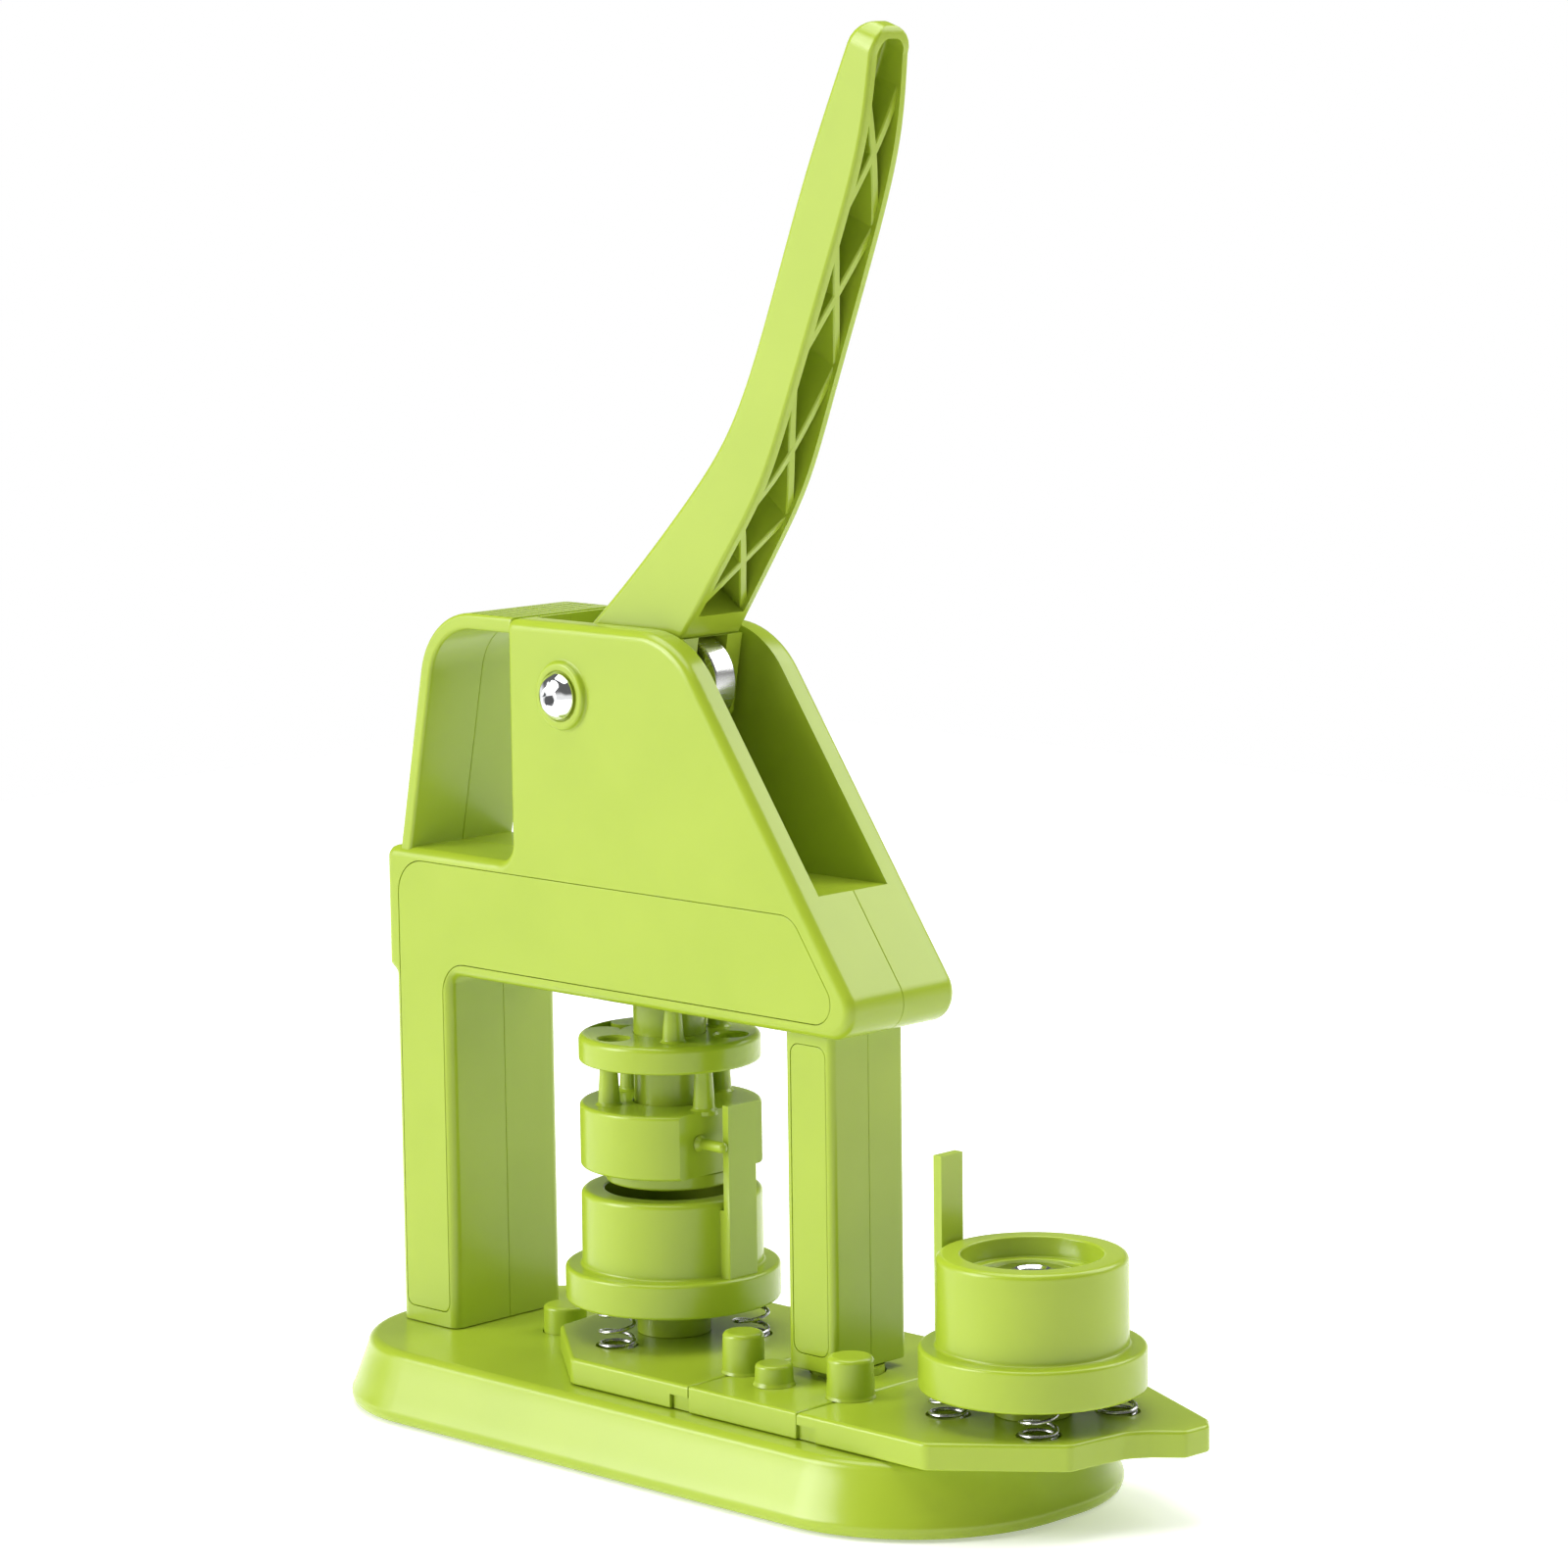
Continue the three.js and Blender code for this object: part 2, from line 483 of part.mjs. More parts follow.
// ---------------------------------------------------------------- front column
function buildFrontColumn() {
  const [hx, hy] = [FRONT_COLUMN_HALF, FRONT_COLUMN_DEPTH];
  const top = BEAM_BOTTOM - GAP;
  const plan = (x, y, r) => shapeOf([
    [SWIVEL_X - x, -y, r], [SWIVEL_X + x, -y, r], [SWIVEL_X + x, y, r], [SWIVEL_X - x, y, r],
  ], 30);
  const panel = (grow) => shapeOf([
    [SWIVEL_X - hx + 2.1 - grow, FRONT_COLUMN_FOOT + 4 - grow, 2.6],
    [SWIVEL_X + hx - 2.1 + grow, FRONT_COLUMN_FOOT + 4 - grow, 2.6],
    [SWIVEL_X + hx - 2.1 + grow, top - 3.2 + grow, 2.6],
    [SWIVEL_X - hx + 2.1 - grow, top - 3.2 + grow, 2.6],
  ]);
  const body = cut(
    standing(plan(hx, hy, 1.8), FRONT_COLUMN_FOOT, top),
    block(SWIVEL_X - hx + 2.2, SWIVEL_X + hx - 2.2, 5.4, hy - 4.2, FRONT_COLUMN_FOOT + 5, top - 5),
    block(SWIVEL_X - hx + 2.2, SWIVEL_X + hx - 2.2, 4.2 - hy, -5.4, FRONT_COLUMN_FOOT + 5, top - 5),
    block(SWIVEL_X - 1.4, SWIVEL_X + 1.4, -6, 6, FRONT_COLUMN_FOOT + 8, top - 8),
    rod(SPINDLE_ROD_R + GAP, 0, 200, SWIVEL_X, 0, 24),
    across(panel(GAP), -hy - 1, -hy + PANEL_THICK + GAP),
    across(panel(GAP), hy - PANEL_THICK - GAP, hy + 1),
  );
  const half = GAP / 2;
  add('front_column_near_half', body.subtract(block(0, 200, -half, 60, 0, 300)), plastic);
  add('front_column_far_half', body.subtract(block(0, 200, -60, half, 0, 300)), plastic);
  add('column_panel_near', across(panel(0), -hy, -hy + PANEL_THICK), plastic);
  add('column_panel_far', across(panel(0), hy - PANEL_THICK, hy), plastic);
  add('spindle_sleeve', cut(
    rod(SPINDLE_R, BASE_TOP + GAP, FRONT_COLUMN_FOOT - GAP, SWIVEL_X, 0, 32),
    rod(SPINDLE_ROD_R + GAP, 0, 200, SWIVEL_X, 0, 24),
  ), steel);
  add('spindle_rod', rod(SPINDLE_ROD_R, 5.2, 126, SWIVEL_X, 0, 24), steel);
  add('spindle_nut', cut(
    rod(6.6, 5.6, 9.2, SWIVEL_X, 0, 6), rod(SPINDLE_ROD_R + GAP, 0, 20, SWIVEL_X, 0, 24),
  ), steel);
}

// ---------------------------------------------------------------- lever and roller
const LEVER_BACK = new THREE.SplineCurve([
  [-16, 200.6], [-1, 214.2], [19.7, 235.3], [30.8, 249], [39, 266], [47.5, 288.5], [55.4, 309.7],
  [62, 325.5],
  [69.2, 341.6],
].map(([x, z]) => new THREE.Vector2(x, z)));
const LEVER_FRONT = new THREE.SplineCurve([
  [8, 188], [17.4, 201.2], [34, 224.4], [43.4, 238.2], [51.8, 259.5], [61.4, 283], [70, 304.5],
  [75.6, 321.5],
  [77.6, 338.6],
].map(([x, z]) => new THREE.Vector2(x, z)));
const LEVER_HALF = new THREE.SplineCurve([
  [0, 10.6], [0.13, 10], [0.3, 8.9], [0.5, 8.2], [0.7, 7.9], [0.9, 7.3], [1, 6.6],
].map(([t, h]) => new THREE.Vector2(t, h)));

// A cross-section of the lever at t: from back to front, rounded at its four edges.
function leverRing(t, { back = 0, front = 0, side = 0, round = 2.4 }) {
  const rear = LEVER_BACK.getPoint(t);
  const fore = LEVER_FRONT.getPoint(t);
  const depth = fore.clone().sub(rear);
  const length = depth.length();
  depth.normalize();
  const half = LEVER_HALF.getPoint(t).y - side;
  const frontFace = length - front;
  const corners = [
    [back, -half, round], [frontFace, -half, round], [frontFace, half, round], [back, half, round],
  ];
  return roundedOutline(corners, 90).map(({ x, y }) => (
    new THREE.Vector3(rear.x + depth.x * x, y, rear.y + depth.y * x)
  ));
}

function buildLever() {
  const steps = 10;
  const rings = [];
  for (let i = 0; i <= steps; i += 1) rings.push(leverRing(i / steps, {}));
  for (const [lift, shrink] of [[2.6, 0.7], [4.3, 2.1], [5.1, 3.7]]) {
    const along = LEVER_BACK.getPoint(1).sub(LEVER_BACK.getPoint(0.96)).normalize().multiplyScalar(lift);
    rings.push(leverRing(1, { back: shrink * 1.2, front: shrink, side: shrink, round: 2.2 })
      .map((p) => p.add(new THREE.Vector3(along.x, 0, along.y))));
  }
  const [slotHalf, forkTop] = [ROLLER_HALF + 1.5, ROLLER_Z + ROLLER_R + 0.4];
  const foot = shapeOf([
    [-24.4, 192.9], [-27, 184.2, 4], [-24, 176.8, 4], [-16.5, 173.7, 6], [-8.5, 178.4, 4],
    [13.6, 178.6, 2.5],
    [17.3, 199.8], [10, 212], [-8, 207.6],
  ]);
  let body = join(loft(rings), across(foot, -LEVER_FOOT_HALF, LEVER_FOOT_HALF, 1));

  // the channel inside the grip, open to the front
  const channel = [];
  const [first, last] = [0.14, 0.965];
  const inside = { back: LEVER_WALL + 0.4, front: -6, side: LEVER_WALL, round: 0.8 };
  for (let i = 0; i <= steps; i += 1) channel.push(leverRing(first + (last - first) * i / steps, inside));
  const room = loft(channel);
  body = body.subtract(room);

  // crossed ribs in four cells
  const cells = [0.14, 0.29, 0.53, 0.715, 0.945];
  const webs = [];
  for (let i = 0; i + 1 < cells.length; i += 1) {
    const ends = [cells[i], cells[i + 1]].map((t) => {
      const mid = LEVER_BACK.getPoint(t).lerp(LEVER_FRONT.getPoint(t), 0.5);
      return { mid, half: LEVER_HALF.getPoint(t).y };
    });
    for (const side of [-1, 1]) {
      const from = new THREE.Vector3(ends[0].mid.x, -side * ends[0].half, ends[0].mid.y);
      const to = new THREE.Vector3(ends[1].mid.x, side * ends[1].half, ends[1].mid.y);
      const along = to.clone().sub(from);
      const depth = new THREE.Vector3(along.z, 0, -along.x).normalize();
      const basis = new THREE.Matrix4().makeBasis(
        along.clone().normalize(), depth.clone().cross(along).normalize(), depth,
      );
      basis.setPosition(from.lerp(to, 0.5));
      webs.push(solid(new THREE.BoxGeometry(along.length(), 1.7, 30).applyMatrix4(basis)));
    }
  }
  const behindRim = [];
  for (let i = 0; i <= steps; i += 1) {
    const t = first + (last - first) * i / steps;
    behindRim.push(leverRing(t, { back: 1.2, front: 1.4, side: 1.2, round: 0.8 }));
  }
  body = join(body, join(...webs).intersect(loft(behindRim)));

  // fork for the roller, with bosses that meet the bearing's inner race
  body = body.subtract(block(-3.2, 30, -slotHalf, slotHalf, 165, forkTop));
  for (const side of [-1, 1]) {
    const [y0, y1] = [side * (ROLLER_HALF + GAP), side * (slotHalf + 1)].sort((p, q) => p - q);
    body = body.add(axle(5.4, y0, y1, ROLLER_X, ROLLER_Z, 24));
  }
  body = cut(
    body,
    axle(PIVOT_R + SLIDE, -20, 20, PIVOT_X, PIVOT_Z),
    axle(ROLLER_PIN_R - 1 + GAP, -20, 20, ROLLER_X, ROLLER_Z, 24),
  );
  add('lever', body, plastic);

  const pinR = ROLLER_PIN_R - 1;
  const pinHalf = LEVER_FOOT_HALF - 0.4;
  add('roller_pin', turnedAcross([
    [0, -pinHalf], [pinR - 0.5, -pinHalf], [pinR, -pinHalf + 0.5], [pinR, pinHalf - 0.5],
    [pinR - 0.5, pinHalf], [0, pinHalf],
  ], ROLLER_X, ROLLER_Z, 24), steel);
  const ring = (r0, r1) => turnedAcross([
    [r0, -ROLLER_HALF], [r1 - 0.6, -ROLLER_HALF], [r1, -ROLLER_HALF + 0.6],
    [r1, ROLLER_HALF - 0.6], [r1 - 0.6, ROLLER_HALF], [r0, ROLLER_HALF],
  ], ROLLER_X, ROLLER_Z, 28);
  add('bearing_inner_race', ring(pinR + GAP, 5.6), chrome);
  add('bearing_outer_race', ring(8.8, ROLLER_R), chrome);
  add('bearing_ball_cage', turnedAcross([
    [5.9, -2.6], [8.5, -2.6], [8.5, 2.6], [5.9, 2.6],
  ], ROLLER_X, ROLLER_Z), steel);
}

// ---------------------------------------------------------------- ram
const RAM_TOP = ROLLER_Z - ROLLER_R - SLIDE;
const POST_CIRCLE = 16;
const COLLAR_POSTS = [-116, -14, 84, 174];
const COLLAR_TURN = 40;

function buildRam() {
  const flange = 171.8;
  add('ram_shaft', turned([
    [0, 80.6], [SHAFT_R, 80.6], [SHAFT_R, flange - 4], [SPRING_BORE - 0.2, flange - 4],
    [SPRING_BORE - 0.2, flange],
    [6.2, flange], [6.2, RAM_TOP - 1], [5.2, RAM_TOP], [0, RAM_TOP],
  ]), plasticDeep);
  const discBody = turned([
    [0, DISC_BOTTOM], [DISC_R - 1, DISC_BOTTOM], [DISC_R, DISC_BOTTOM + 1],
    [DISC_R, DISC_TOP - 1.2], [DISC_R - 1.2, DISC_TOP], [0, DISC_TOP],
  ], 0, 0, 32);
  const passHole = (radius, degrees, circle = POST_CIRCLE) => (
    rod(radius, DISC_BOTTOM - 1, DISC_TOP + 1, ...polar(circle, degrees), 12)
  );
  const kidney = join(...[-186, -176, -166, -156, -146].map((angle) => passHole(4.2, angle, 16.8)));
  const pins = GUIDE_PINS.map(([x, y]) => turned([
    [0, DISC_TOP - 1], [2.8, DISC_TOP - 1], [2.7, DISC_TOP], [1.9, BEAM_BOTTOM - 0.6], [1.8, 122],
    [1.2, 123], [0, 123],
  ], x, y, 12));
  add('selector_disc', cut(
    join(discBody, ...pins), rod(SHAFT_R + GAP, 80, 110, 0, 0, 32),
    passHole(3.8, COLLAR_POSTS[0] + 12), passHole(4.1, COLLAR_POSTS[1] + COLLAR_TURN),
    passHole(4.1, COLLAR_POSTS[2] + COLLAR_TURN), kidney,
  ), plastic);
  add('punch', turned([
    [0, 74.4], [CAP_R + SLIDE, 74.4], [CAP_R + SLIDE, PUNCH_BOTTOM],
    [PUNCH_R - 0.4, PUNCH_BOTTOM], [PUNCH_R, PUNCH_BOTTOM + 0.5],
    [PUNCH_R, COLLAR_BOTTOM - SLIDE], [NECK_R, COLLAR_BOTTOM - SLIDE],
    [NECK_R, 79], [6, 79], [6, 80.3], [0, 80.3],
  ]), plastic);
  add('return_spring', coil(RETURN_R, RETURN_WIRE_R, SPRING_SEAT + GAP, flange - 4 - GAP, 7.5, 0,
    0, 11), steel);
}

function buildCollar() {
  const topWall = 3.7;
  const cup = turned([
    [SHAFT_R + SLIDE, COLLAR_TOP - topWall], [NECK_R + SLIDE, COLLAR_TOP - topWall],
    [NECK_R + SLIDE, COLLAR_BOTTOM], [COLLAR_R - 0.9, COLLAR_BOTTOM], [COLLAR_R, COLLAR_BOTTOM + 0.9],
    [COLLAR_R, COLLAR_TOP - 0.9], [COLLAR_R - 0.9, COLLAR_TOP], [SHAFT_R + SLIDE, COLLAR_TOP],
  ]);
  const posts = COLLAR_POSTS.map((angle) => (
    cone(2.75, 2.2, COLLAR_TOP - 1, DISC_BOTTOM - SLIDE, ...polar(POST_CIRCLE, angle))
  ));
  const facet = block(COLLAR_FACET, 40, -30, 30, 60, 90);
  const lowerFlat = block(COLLAR_FACET - 0.45, 40, -11.5, 30, 60, COLLAR_TOP - 5.5);
  const pinShape = new THREE.CylinderGeometry(1.1, 1.1, 8, 12).rotateZ(Math.PI / 2);
  const pinHole = solid(pinShape.translate(COLLAR_FACET, -7.1, 75.3));
  add('collar', cut(join(cut(cup, facet, lowerFlat), ...posts), pinHole), plastic);
  const pinProfile = [[0, -1.5], [0.8, -1.5], [0.8, 0.3], [1.35, 0.3], [1.35, 7.5], [0.9, 8.4], [0, 8.7]];
  const pin = new THREE.LatheGeometry(pinProfile.map(([r, y]) => new THREE.Vector2(r, y)), 12);
  add('collar_pin', solid(pin.rotateZ(-Math.PI / 2).translate(COLLAR_FACET, -7.1, 75.3)), plastic);
}

// ---------------------------------------------------------------- swivelling die plate
const PLATE_BOTTOM = BASE_TOP + GAP;
const LAP = 3.3;                 // height of the tongue under each side plate
const KNOB_Y = -17.8;
const KNOB_X = 17.75;
const PEG_TOP = PLATE_TOP + 10.1;
const INDEX_TOP = PLATE_TOP + 5.3;
const POST_DEPTH = PLATE_BOTTOM + 0.8;

// The outer end of a side plate, drawn as the left one about the swivel axis.
function sidePlateShape() {
  return shapeOf([
    [-SEAM_HALF - GAP, -PLATE_HALF], [-SEAM_HALF - GAP, PLATE_HALF], [-64, PLATE_HALF, 6],
    [-93.5, 23, 3], [-97, 19, 3], [-96.6, 11, 2], [-90.5, 6, 3], [-87, 1.5, 8], [-85.4, -8, 10],
    [-84.6, -15.5, 3], [-58.5, -PLATE_HALF, 4],
  ], 20);
}

function buildSwivel() {
  const lapTop = PLATE_BOTTOM + LAP;
  const tongue = 6;
  const centre = (half) => shapeOf([
    [-half, -PLATE_HALF], [half, -PLATE_HALF], [half, PLATE_HALF], [-half, PLATE_HALF],
  ]);
  const toSwivel = (body) => body.translate([SWIVEL_X, 0, 0]);
  const mirrored = (body) => body.mirror([1, 0, 0]);
  const knobHoles = [-1, 1].map((side) => rod(2.6 + GAP, 0, 40, side * KNOB_X, KNOB_Y, 16));
  const centreBody = cut(
    join(
      standing(centre(SEAM_HALF), PLATE_BOTTOM, PLATE_TOP, 0.5),
      block(-SEAM_HALF - tongue, SEAM_HALF + tongue, -PLATE_HALF + 1, PLATE_HALF - 1, PLATE_BOTTOM, lapTop),
    ),
    rod(SPINDLE_R + SLIDE, 0, 40, 0, 0, 32), ...knobHoles,
    rod(2.6 + GAP, 0, 40, -4, -21.4, 16),
  );
  add('swivel_centre', toSwivel(centreBody), plastic);

  const dieX = SWIVEL_X;
  const sidePlate = cut(
    standing(sidePlateShape(), PLATE_BOTTOM, PLATE_TOP, 0.9),
    block(-SEAM_HALF - tongue - GAP, 0, -PLATE_HALF - 1, PLATE_HALF + 1, 0, lapTop + GAP),
    rod(2.6 + GAP, 0, 40, -KNOB_X, KNOB_Y, 16),
    rod(HUB_R - 1.6 + GAP, POST_DEPTH - GAP, 40, -dieX, 0, 24),
  );
  const screwHole = join(
    rod(SCREW_R + GAP, 0, POST_DEPTH + 2, -dieX, 0, 16),
    rod(HEAD_R + GAP, 0, POST_DEPTH - GAP + 0.5, -dieX, 0, 20),
  );
  add('die_plate_b', toSwivel(cut(sidePlate, screwHole)), plastic);
  add('die_plate_a', toSwivel(mirrored(cut(sidePlate, screwHole))), plastic);

  const knob = (radius, top, x, y, foot) => turned([
    [0, foot], [2.6, foot], [2.6, PLATE_TOP + GAP], [radius + 0.5, PLATE_TOP + GAP],
    [radius, PLATE_TOP + 1],
    [radius - 0.15, top - 1.2], [radius - 1.1, top - 0.2], [0, top],
  ], x, y, 16);
  add('peg_left', toSwivel(knob(5.15, PEG_TOP, -KNOB_X, KNOB_Y, PLATE_BOTTOM + 0.5)), plastic);
  add('peg_right', toSwivel(knob(5.7, PEG_TOP, KNOB_X, KNOB_Y, PLATE_BOTTOM + 0.5)), plastic);
  add('index_knob', toSwivel(knob(4.7, INDEX_TOP, -4, -21.4, PLATE_BOTTOM + 0.5)), plastic);
}

// ---------------------------------------------------------------- dies
function buildDie(letter, dieX, ring) {
  const post = turned([
    [0, POST_DEPTH], [HUB_R - 1.6, POST_DEPTH], [HUB_R - 1.6, PLATE_TOP + GAP], [HUB_R, PLATE_TOP + GAP],
    [HUB_R, DIE_FLOOR + GAP], [ring.headR, DIE_FLOOR + GAP], [ring.headR, ring.headTop - 0.6],
    [ring.headR - 0.6, ring.headTop], [0, ring.headTop],
  ], dieX, 0);
  const screwRoom = rod(SCREW_R + GAP, 0, 37, dieX, 0, 12);
  add(`die_post_${letter}`, cut(post, screwRoom), plasticDeep);
  add(`post_screw_${letter}`, screwUp(dieX, 0, BASE_TOP + GAP + 0.1, HEAD_R, 0.6, SCREW_R, 36), steel);

  const bottom = ring.flangeBottom;
  const ledge = ring.ledge ? [[BORE_R, ring.ledge], [CAP_R + SLIDE, ring.ledge], [CAP_R + SLIDE, DIE_FLOOR]]
    : [[BORE_R, DIE_FLOOR]];
  const cup = turned([
    [HUB_R + SLIDE, bottom], [FLANGE_R - 0.8, bottom], [FLANGE_R, bottom + 0.8],
    [FLANGE_R, ring.flangeTop - 0.9], [FLANGE_R - 0.9, ring.flangeTop],
    [RING_R, ring.flangeTop], [RING_R, ring.top - 1.4], [RING_R - 1.4, ring.top], [BORE_R, ring.top],
    ...ledge, [HUB_R + SLIDE, DIE_FLOOR],
  ], dieX, 0, 32);
  const strip = (inner, top) => {
    const ends = [dieX + ring.barSide * inner, dieX + ring.barSide * ring.barOuter].sort((p, q) => p - q);
    return block(...ends, ...ring.barY, ring.flangeTop - 1, top);
  };
  const bar = join(strip(BAR_INNER, ring.barTop), strip(BORE_R + 3, ring.top - 2.2));
  const pockets = ring.springs.map(([x, y]) => (
    rod(SPRING_R + 1, bottom - 1, ring.springTop + GAP, dieX + x, y, 16)
  ));
  add(`die_ring_${letter}`, cut(join(cup, bar), ...pockets), plastic);
  ring.springs.forEach(([x, y], i) => add(
    `die_${letter}_spring_${i + 1}`,
    coil(SPRING_R, WIRE_R, PLATE_TOP + GAP, ring.springTop, 4.5, dieX + x, y),
    chrome,
  ));
}

function buildDies() {
  buildDie('b', 0, {
    top: 61.2, flangeTop: 42.1, flangeBottom: 33.3, springTop: 40.9, headR: PUNCH_R - 0.1, headTop: 48.4,
    barSide: 1, barOuter: 25.2, barY: [-5.3, 4.2], barTop: 85.3,
    springs: [-90, 30, 150].map((angle) => polar(SPRING_CIRCLE, angle)),
  });
  buildDie('a', DIE_A_X, {
    top: 62.6, flangeTop: 41, flangeBottom: 30.9, springTop: 39.8, headR: CAP_R, headTop: 52.2,
    ledge: LEDGE_A,
    barSide: -1, barOuter: 25.8, barY: [-5.6, 1.9], barTop: 83,
    springs: [-135, -45, 45, 135].map((angle) => polar(SPRING_CIRCLE, angle)),
  });
  add('die_cap_a', turned([
    [0, 52.5], [CAP_R, 52.5], [CAP_R, 56], [CAP_R - 0.6, 57], [6, 57.5], [0, 57.5],
  ], DIE_A_X, 0), chrome);
}

// ---------------------------------------------------------------- assembly
buildBase();
buildFrame();
buildPivot();
buildFrontColumn();
buildLever();
buildRam();
buildCollar();
buildSwivel();
buildDies();

export default press;
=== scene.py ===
import math

import bmesh
import bpy
from mathutils import Matrix, Vector


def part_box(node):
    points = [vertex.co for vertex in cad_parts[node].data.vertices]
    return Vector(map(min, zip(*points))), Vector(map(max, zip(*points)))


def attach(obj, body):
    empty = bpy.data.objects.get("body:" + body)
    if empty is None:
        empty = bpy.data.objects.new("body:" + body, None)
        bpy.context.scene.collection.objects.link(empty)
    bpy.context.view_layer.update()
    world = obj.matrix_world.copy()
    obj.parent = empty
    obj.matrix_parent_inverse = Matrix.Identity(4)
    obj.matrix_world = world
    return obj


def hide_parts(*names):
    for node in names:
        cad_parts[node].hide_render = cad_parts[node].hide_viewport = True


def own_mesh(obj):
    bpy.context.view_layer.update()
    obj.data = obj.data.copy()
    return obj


# The fine model of the badge press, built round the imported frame. Shapes are made in
# millimetres and scaled to metres when they become pieces.
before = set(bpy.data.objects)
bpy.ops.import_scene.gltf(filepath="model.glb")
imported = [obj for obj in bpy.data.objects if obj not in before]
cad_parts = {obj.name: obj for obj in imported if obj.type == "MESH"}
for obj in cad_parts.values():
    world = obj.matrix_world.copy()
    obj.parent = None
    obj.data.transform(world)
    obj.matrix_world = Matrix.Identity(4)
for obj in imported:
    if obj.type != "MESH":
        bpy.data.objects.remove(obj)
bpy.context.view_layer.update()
MM = 0.001
PI = math.pi


# ------------------------------------------------------------------ sizes, from the frame
def span(node, axis):
    low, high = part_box(node)
    return low[axis] / MM, high[axis] / MM


def middle(node, axis):
    return sum(span(node, axis)) / 2


X, Y, Z = 0, 1, 2
FRAME_HALF = span("side_panel_far", Y)[1]
PIVOT_X, PIVOT_Z = middle("pivot_bolt", X), middle("pivot_bolt", Z)
ROLLER_X, ROLLER_Z = middle("bearing_outer_race", X), middle("bearing_outer_race", Z)
ROLLER_R = (span("bearing_outer_race", Z)[1] - span("bearing_outer_race", Z)[0]) / 2
ROLLER_HALF = span("bearing_outer_race", Y)[1]
SWIVEL_X = middle("spindle_rod", X)
DIE_A_X = 2 * SWIVEL_X
BASE_BACK, BASE_FRONT = span("base_shell", X)
BASE_HALF = span("base_shell", Y)[1]
BASE_RIM, BASE_TOP = span("base_shell", Z)
PLATE_BOTTOM, PLATE_TOP = span("swivel_centre", Z)
PLATE_HALF = span("swivel_centre", Y)[1]
COLUMN_FOOT, COLUMN_TOP = span("front_column_near_half", Z)
COLUMN_HALF = (span("front_column_near_half", X)[1] - span("front_column_near_half", X)[0]) / 2
COLUMN_DEPTH = span("front_column_far_half", Y)[1]
BEAM_BOTTOM = COLUMN_TOP + 0.3
BEAM_BACK = span("frame_near_half", X)[0]
COLUMN_BACK, COLUMN_FRONT = BEAM_BACK + 2.5, BEAM_BACK + 23.2
CHEEK_TOP = span("frame_near_half", Z)[1] - 0.2
CHEEK_BACK = -36.7
LEDGE_Z = 140.8
SLOT_FLOOR, SLOT_HALF = 142.0, 11.95
SLANT_X, SLANT_RUN = 63.0, 0.693
COLLAR_BOTTOM = span("collar", Z)[0]
COLLAR_TOP = COLLAR_BOTTOM + 16
COLLAR_R = span("collar", Y)[1]
DISC_BOTTOM = span("collar", Z)[1] + 0.35
DISC_TOP = DISC_BOTTOM + 6.8
DISC_R = span("selector_disc", X)[1]
SHAFT_R = 9.0
POST_CIRCLE = 16.0
PUNCH_BOTTOM = span("punch", Z)[0]
PUNCH_R = span("punch", X)[1]
RAM_TOP = span("ram_shaft", Z)[1]
SPRING_SEAT = span("return_spring", Z)[0] - 0.3
GUIDE_TOP = span("selector_disc", Z)[1]
HALF_GAP = 0.03                  # the moulded halves meet this far from the middle


# ------------------------------------------------------------------ outlines
def rounded(corners, closed=True, step=7.0):
    """Corners (x, y) or (x, y, radius) as points, with an arc where there is a radius."""
    points = []
    last = len(corners) - 1
    for i, corner in enumerate(corners):
        here = Vector(corner[:2])
        radius = corner[2] if len(corner) > 2 else 0
        if not radius or (not closed and i in (0, last)):
            points.append(here)
            continue
        before = (Vector(corners[i - 1][:2]) - here).normalized()
        after = (Vector(corners[(i + 1) % len(corners)][:2]) - here).normalized()
        half = math.acos(max(-1.0, min(1.0, before.dot(after)))) / 2
        centre = here + (before + after).normalized() * (radius / math.sin(half))
        start = here + before * (radius / math.tan(half)) - centre
        turn = (before.x * after.y - before.y * after.x)
        sweep = (PI - 2 * half) * (1 if turn > 0 else -1)
        steps = max(2, round(abs(math.degrees(sweep)) / step))
        for k in range(steps + 1):
            angle = -sweep * k / steps
            c, s = math.cos(angle), math.sin(angle)
            points.append(centre + Vector((start.x * c - start.y * s, start.x * s + start.y * c)))
    return points


def counter_clockwise(points):
    area = sum(p.x * q.y - q.x * p.y for p, q in zip(points, points[1:] + points[:1]))
    return points if area > 0 else points[::-1]


def inset(points, distance):
    """A counter-clockwise outline moved inwards by distance."""
    if not distance:
        return list(points)
    moved = []
    for i, here in enumerate(points):
        e0 = (here - points[i - 1]).normalized()
        e1 = (points[(i + 1) % len(points)] - here).normalized()
        n0, n1 = Vector((-e0.y, e0.x)), Vector((-e1.y, e1.x))
        moved.append(here + (n0 + n1) * (distance / max(0.3, 1 + n0.dot(n1))))
    return moved


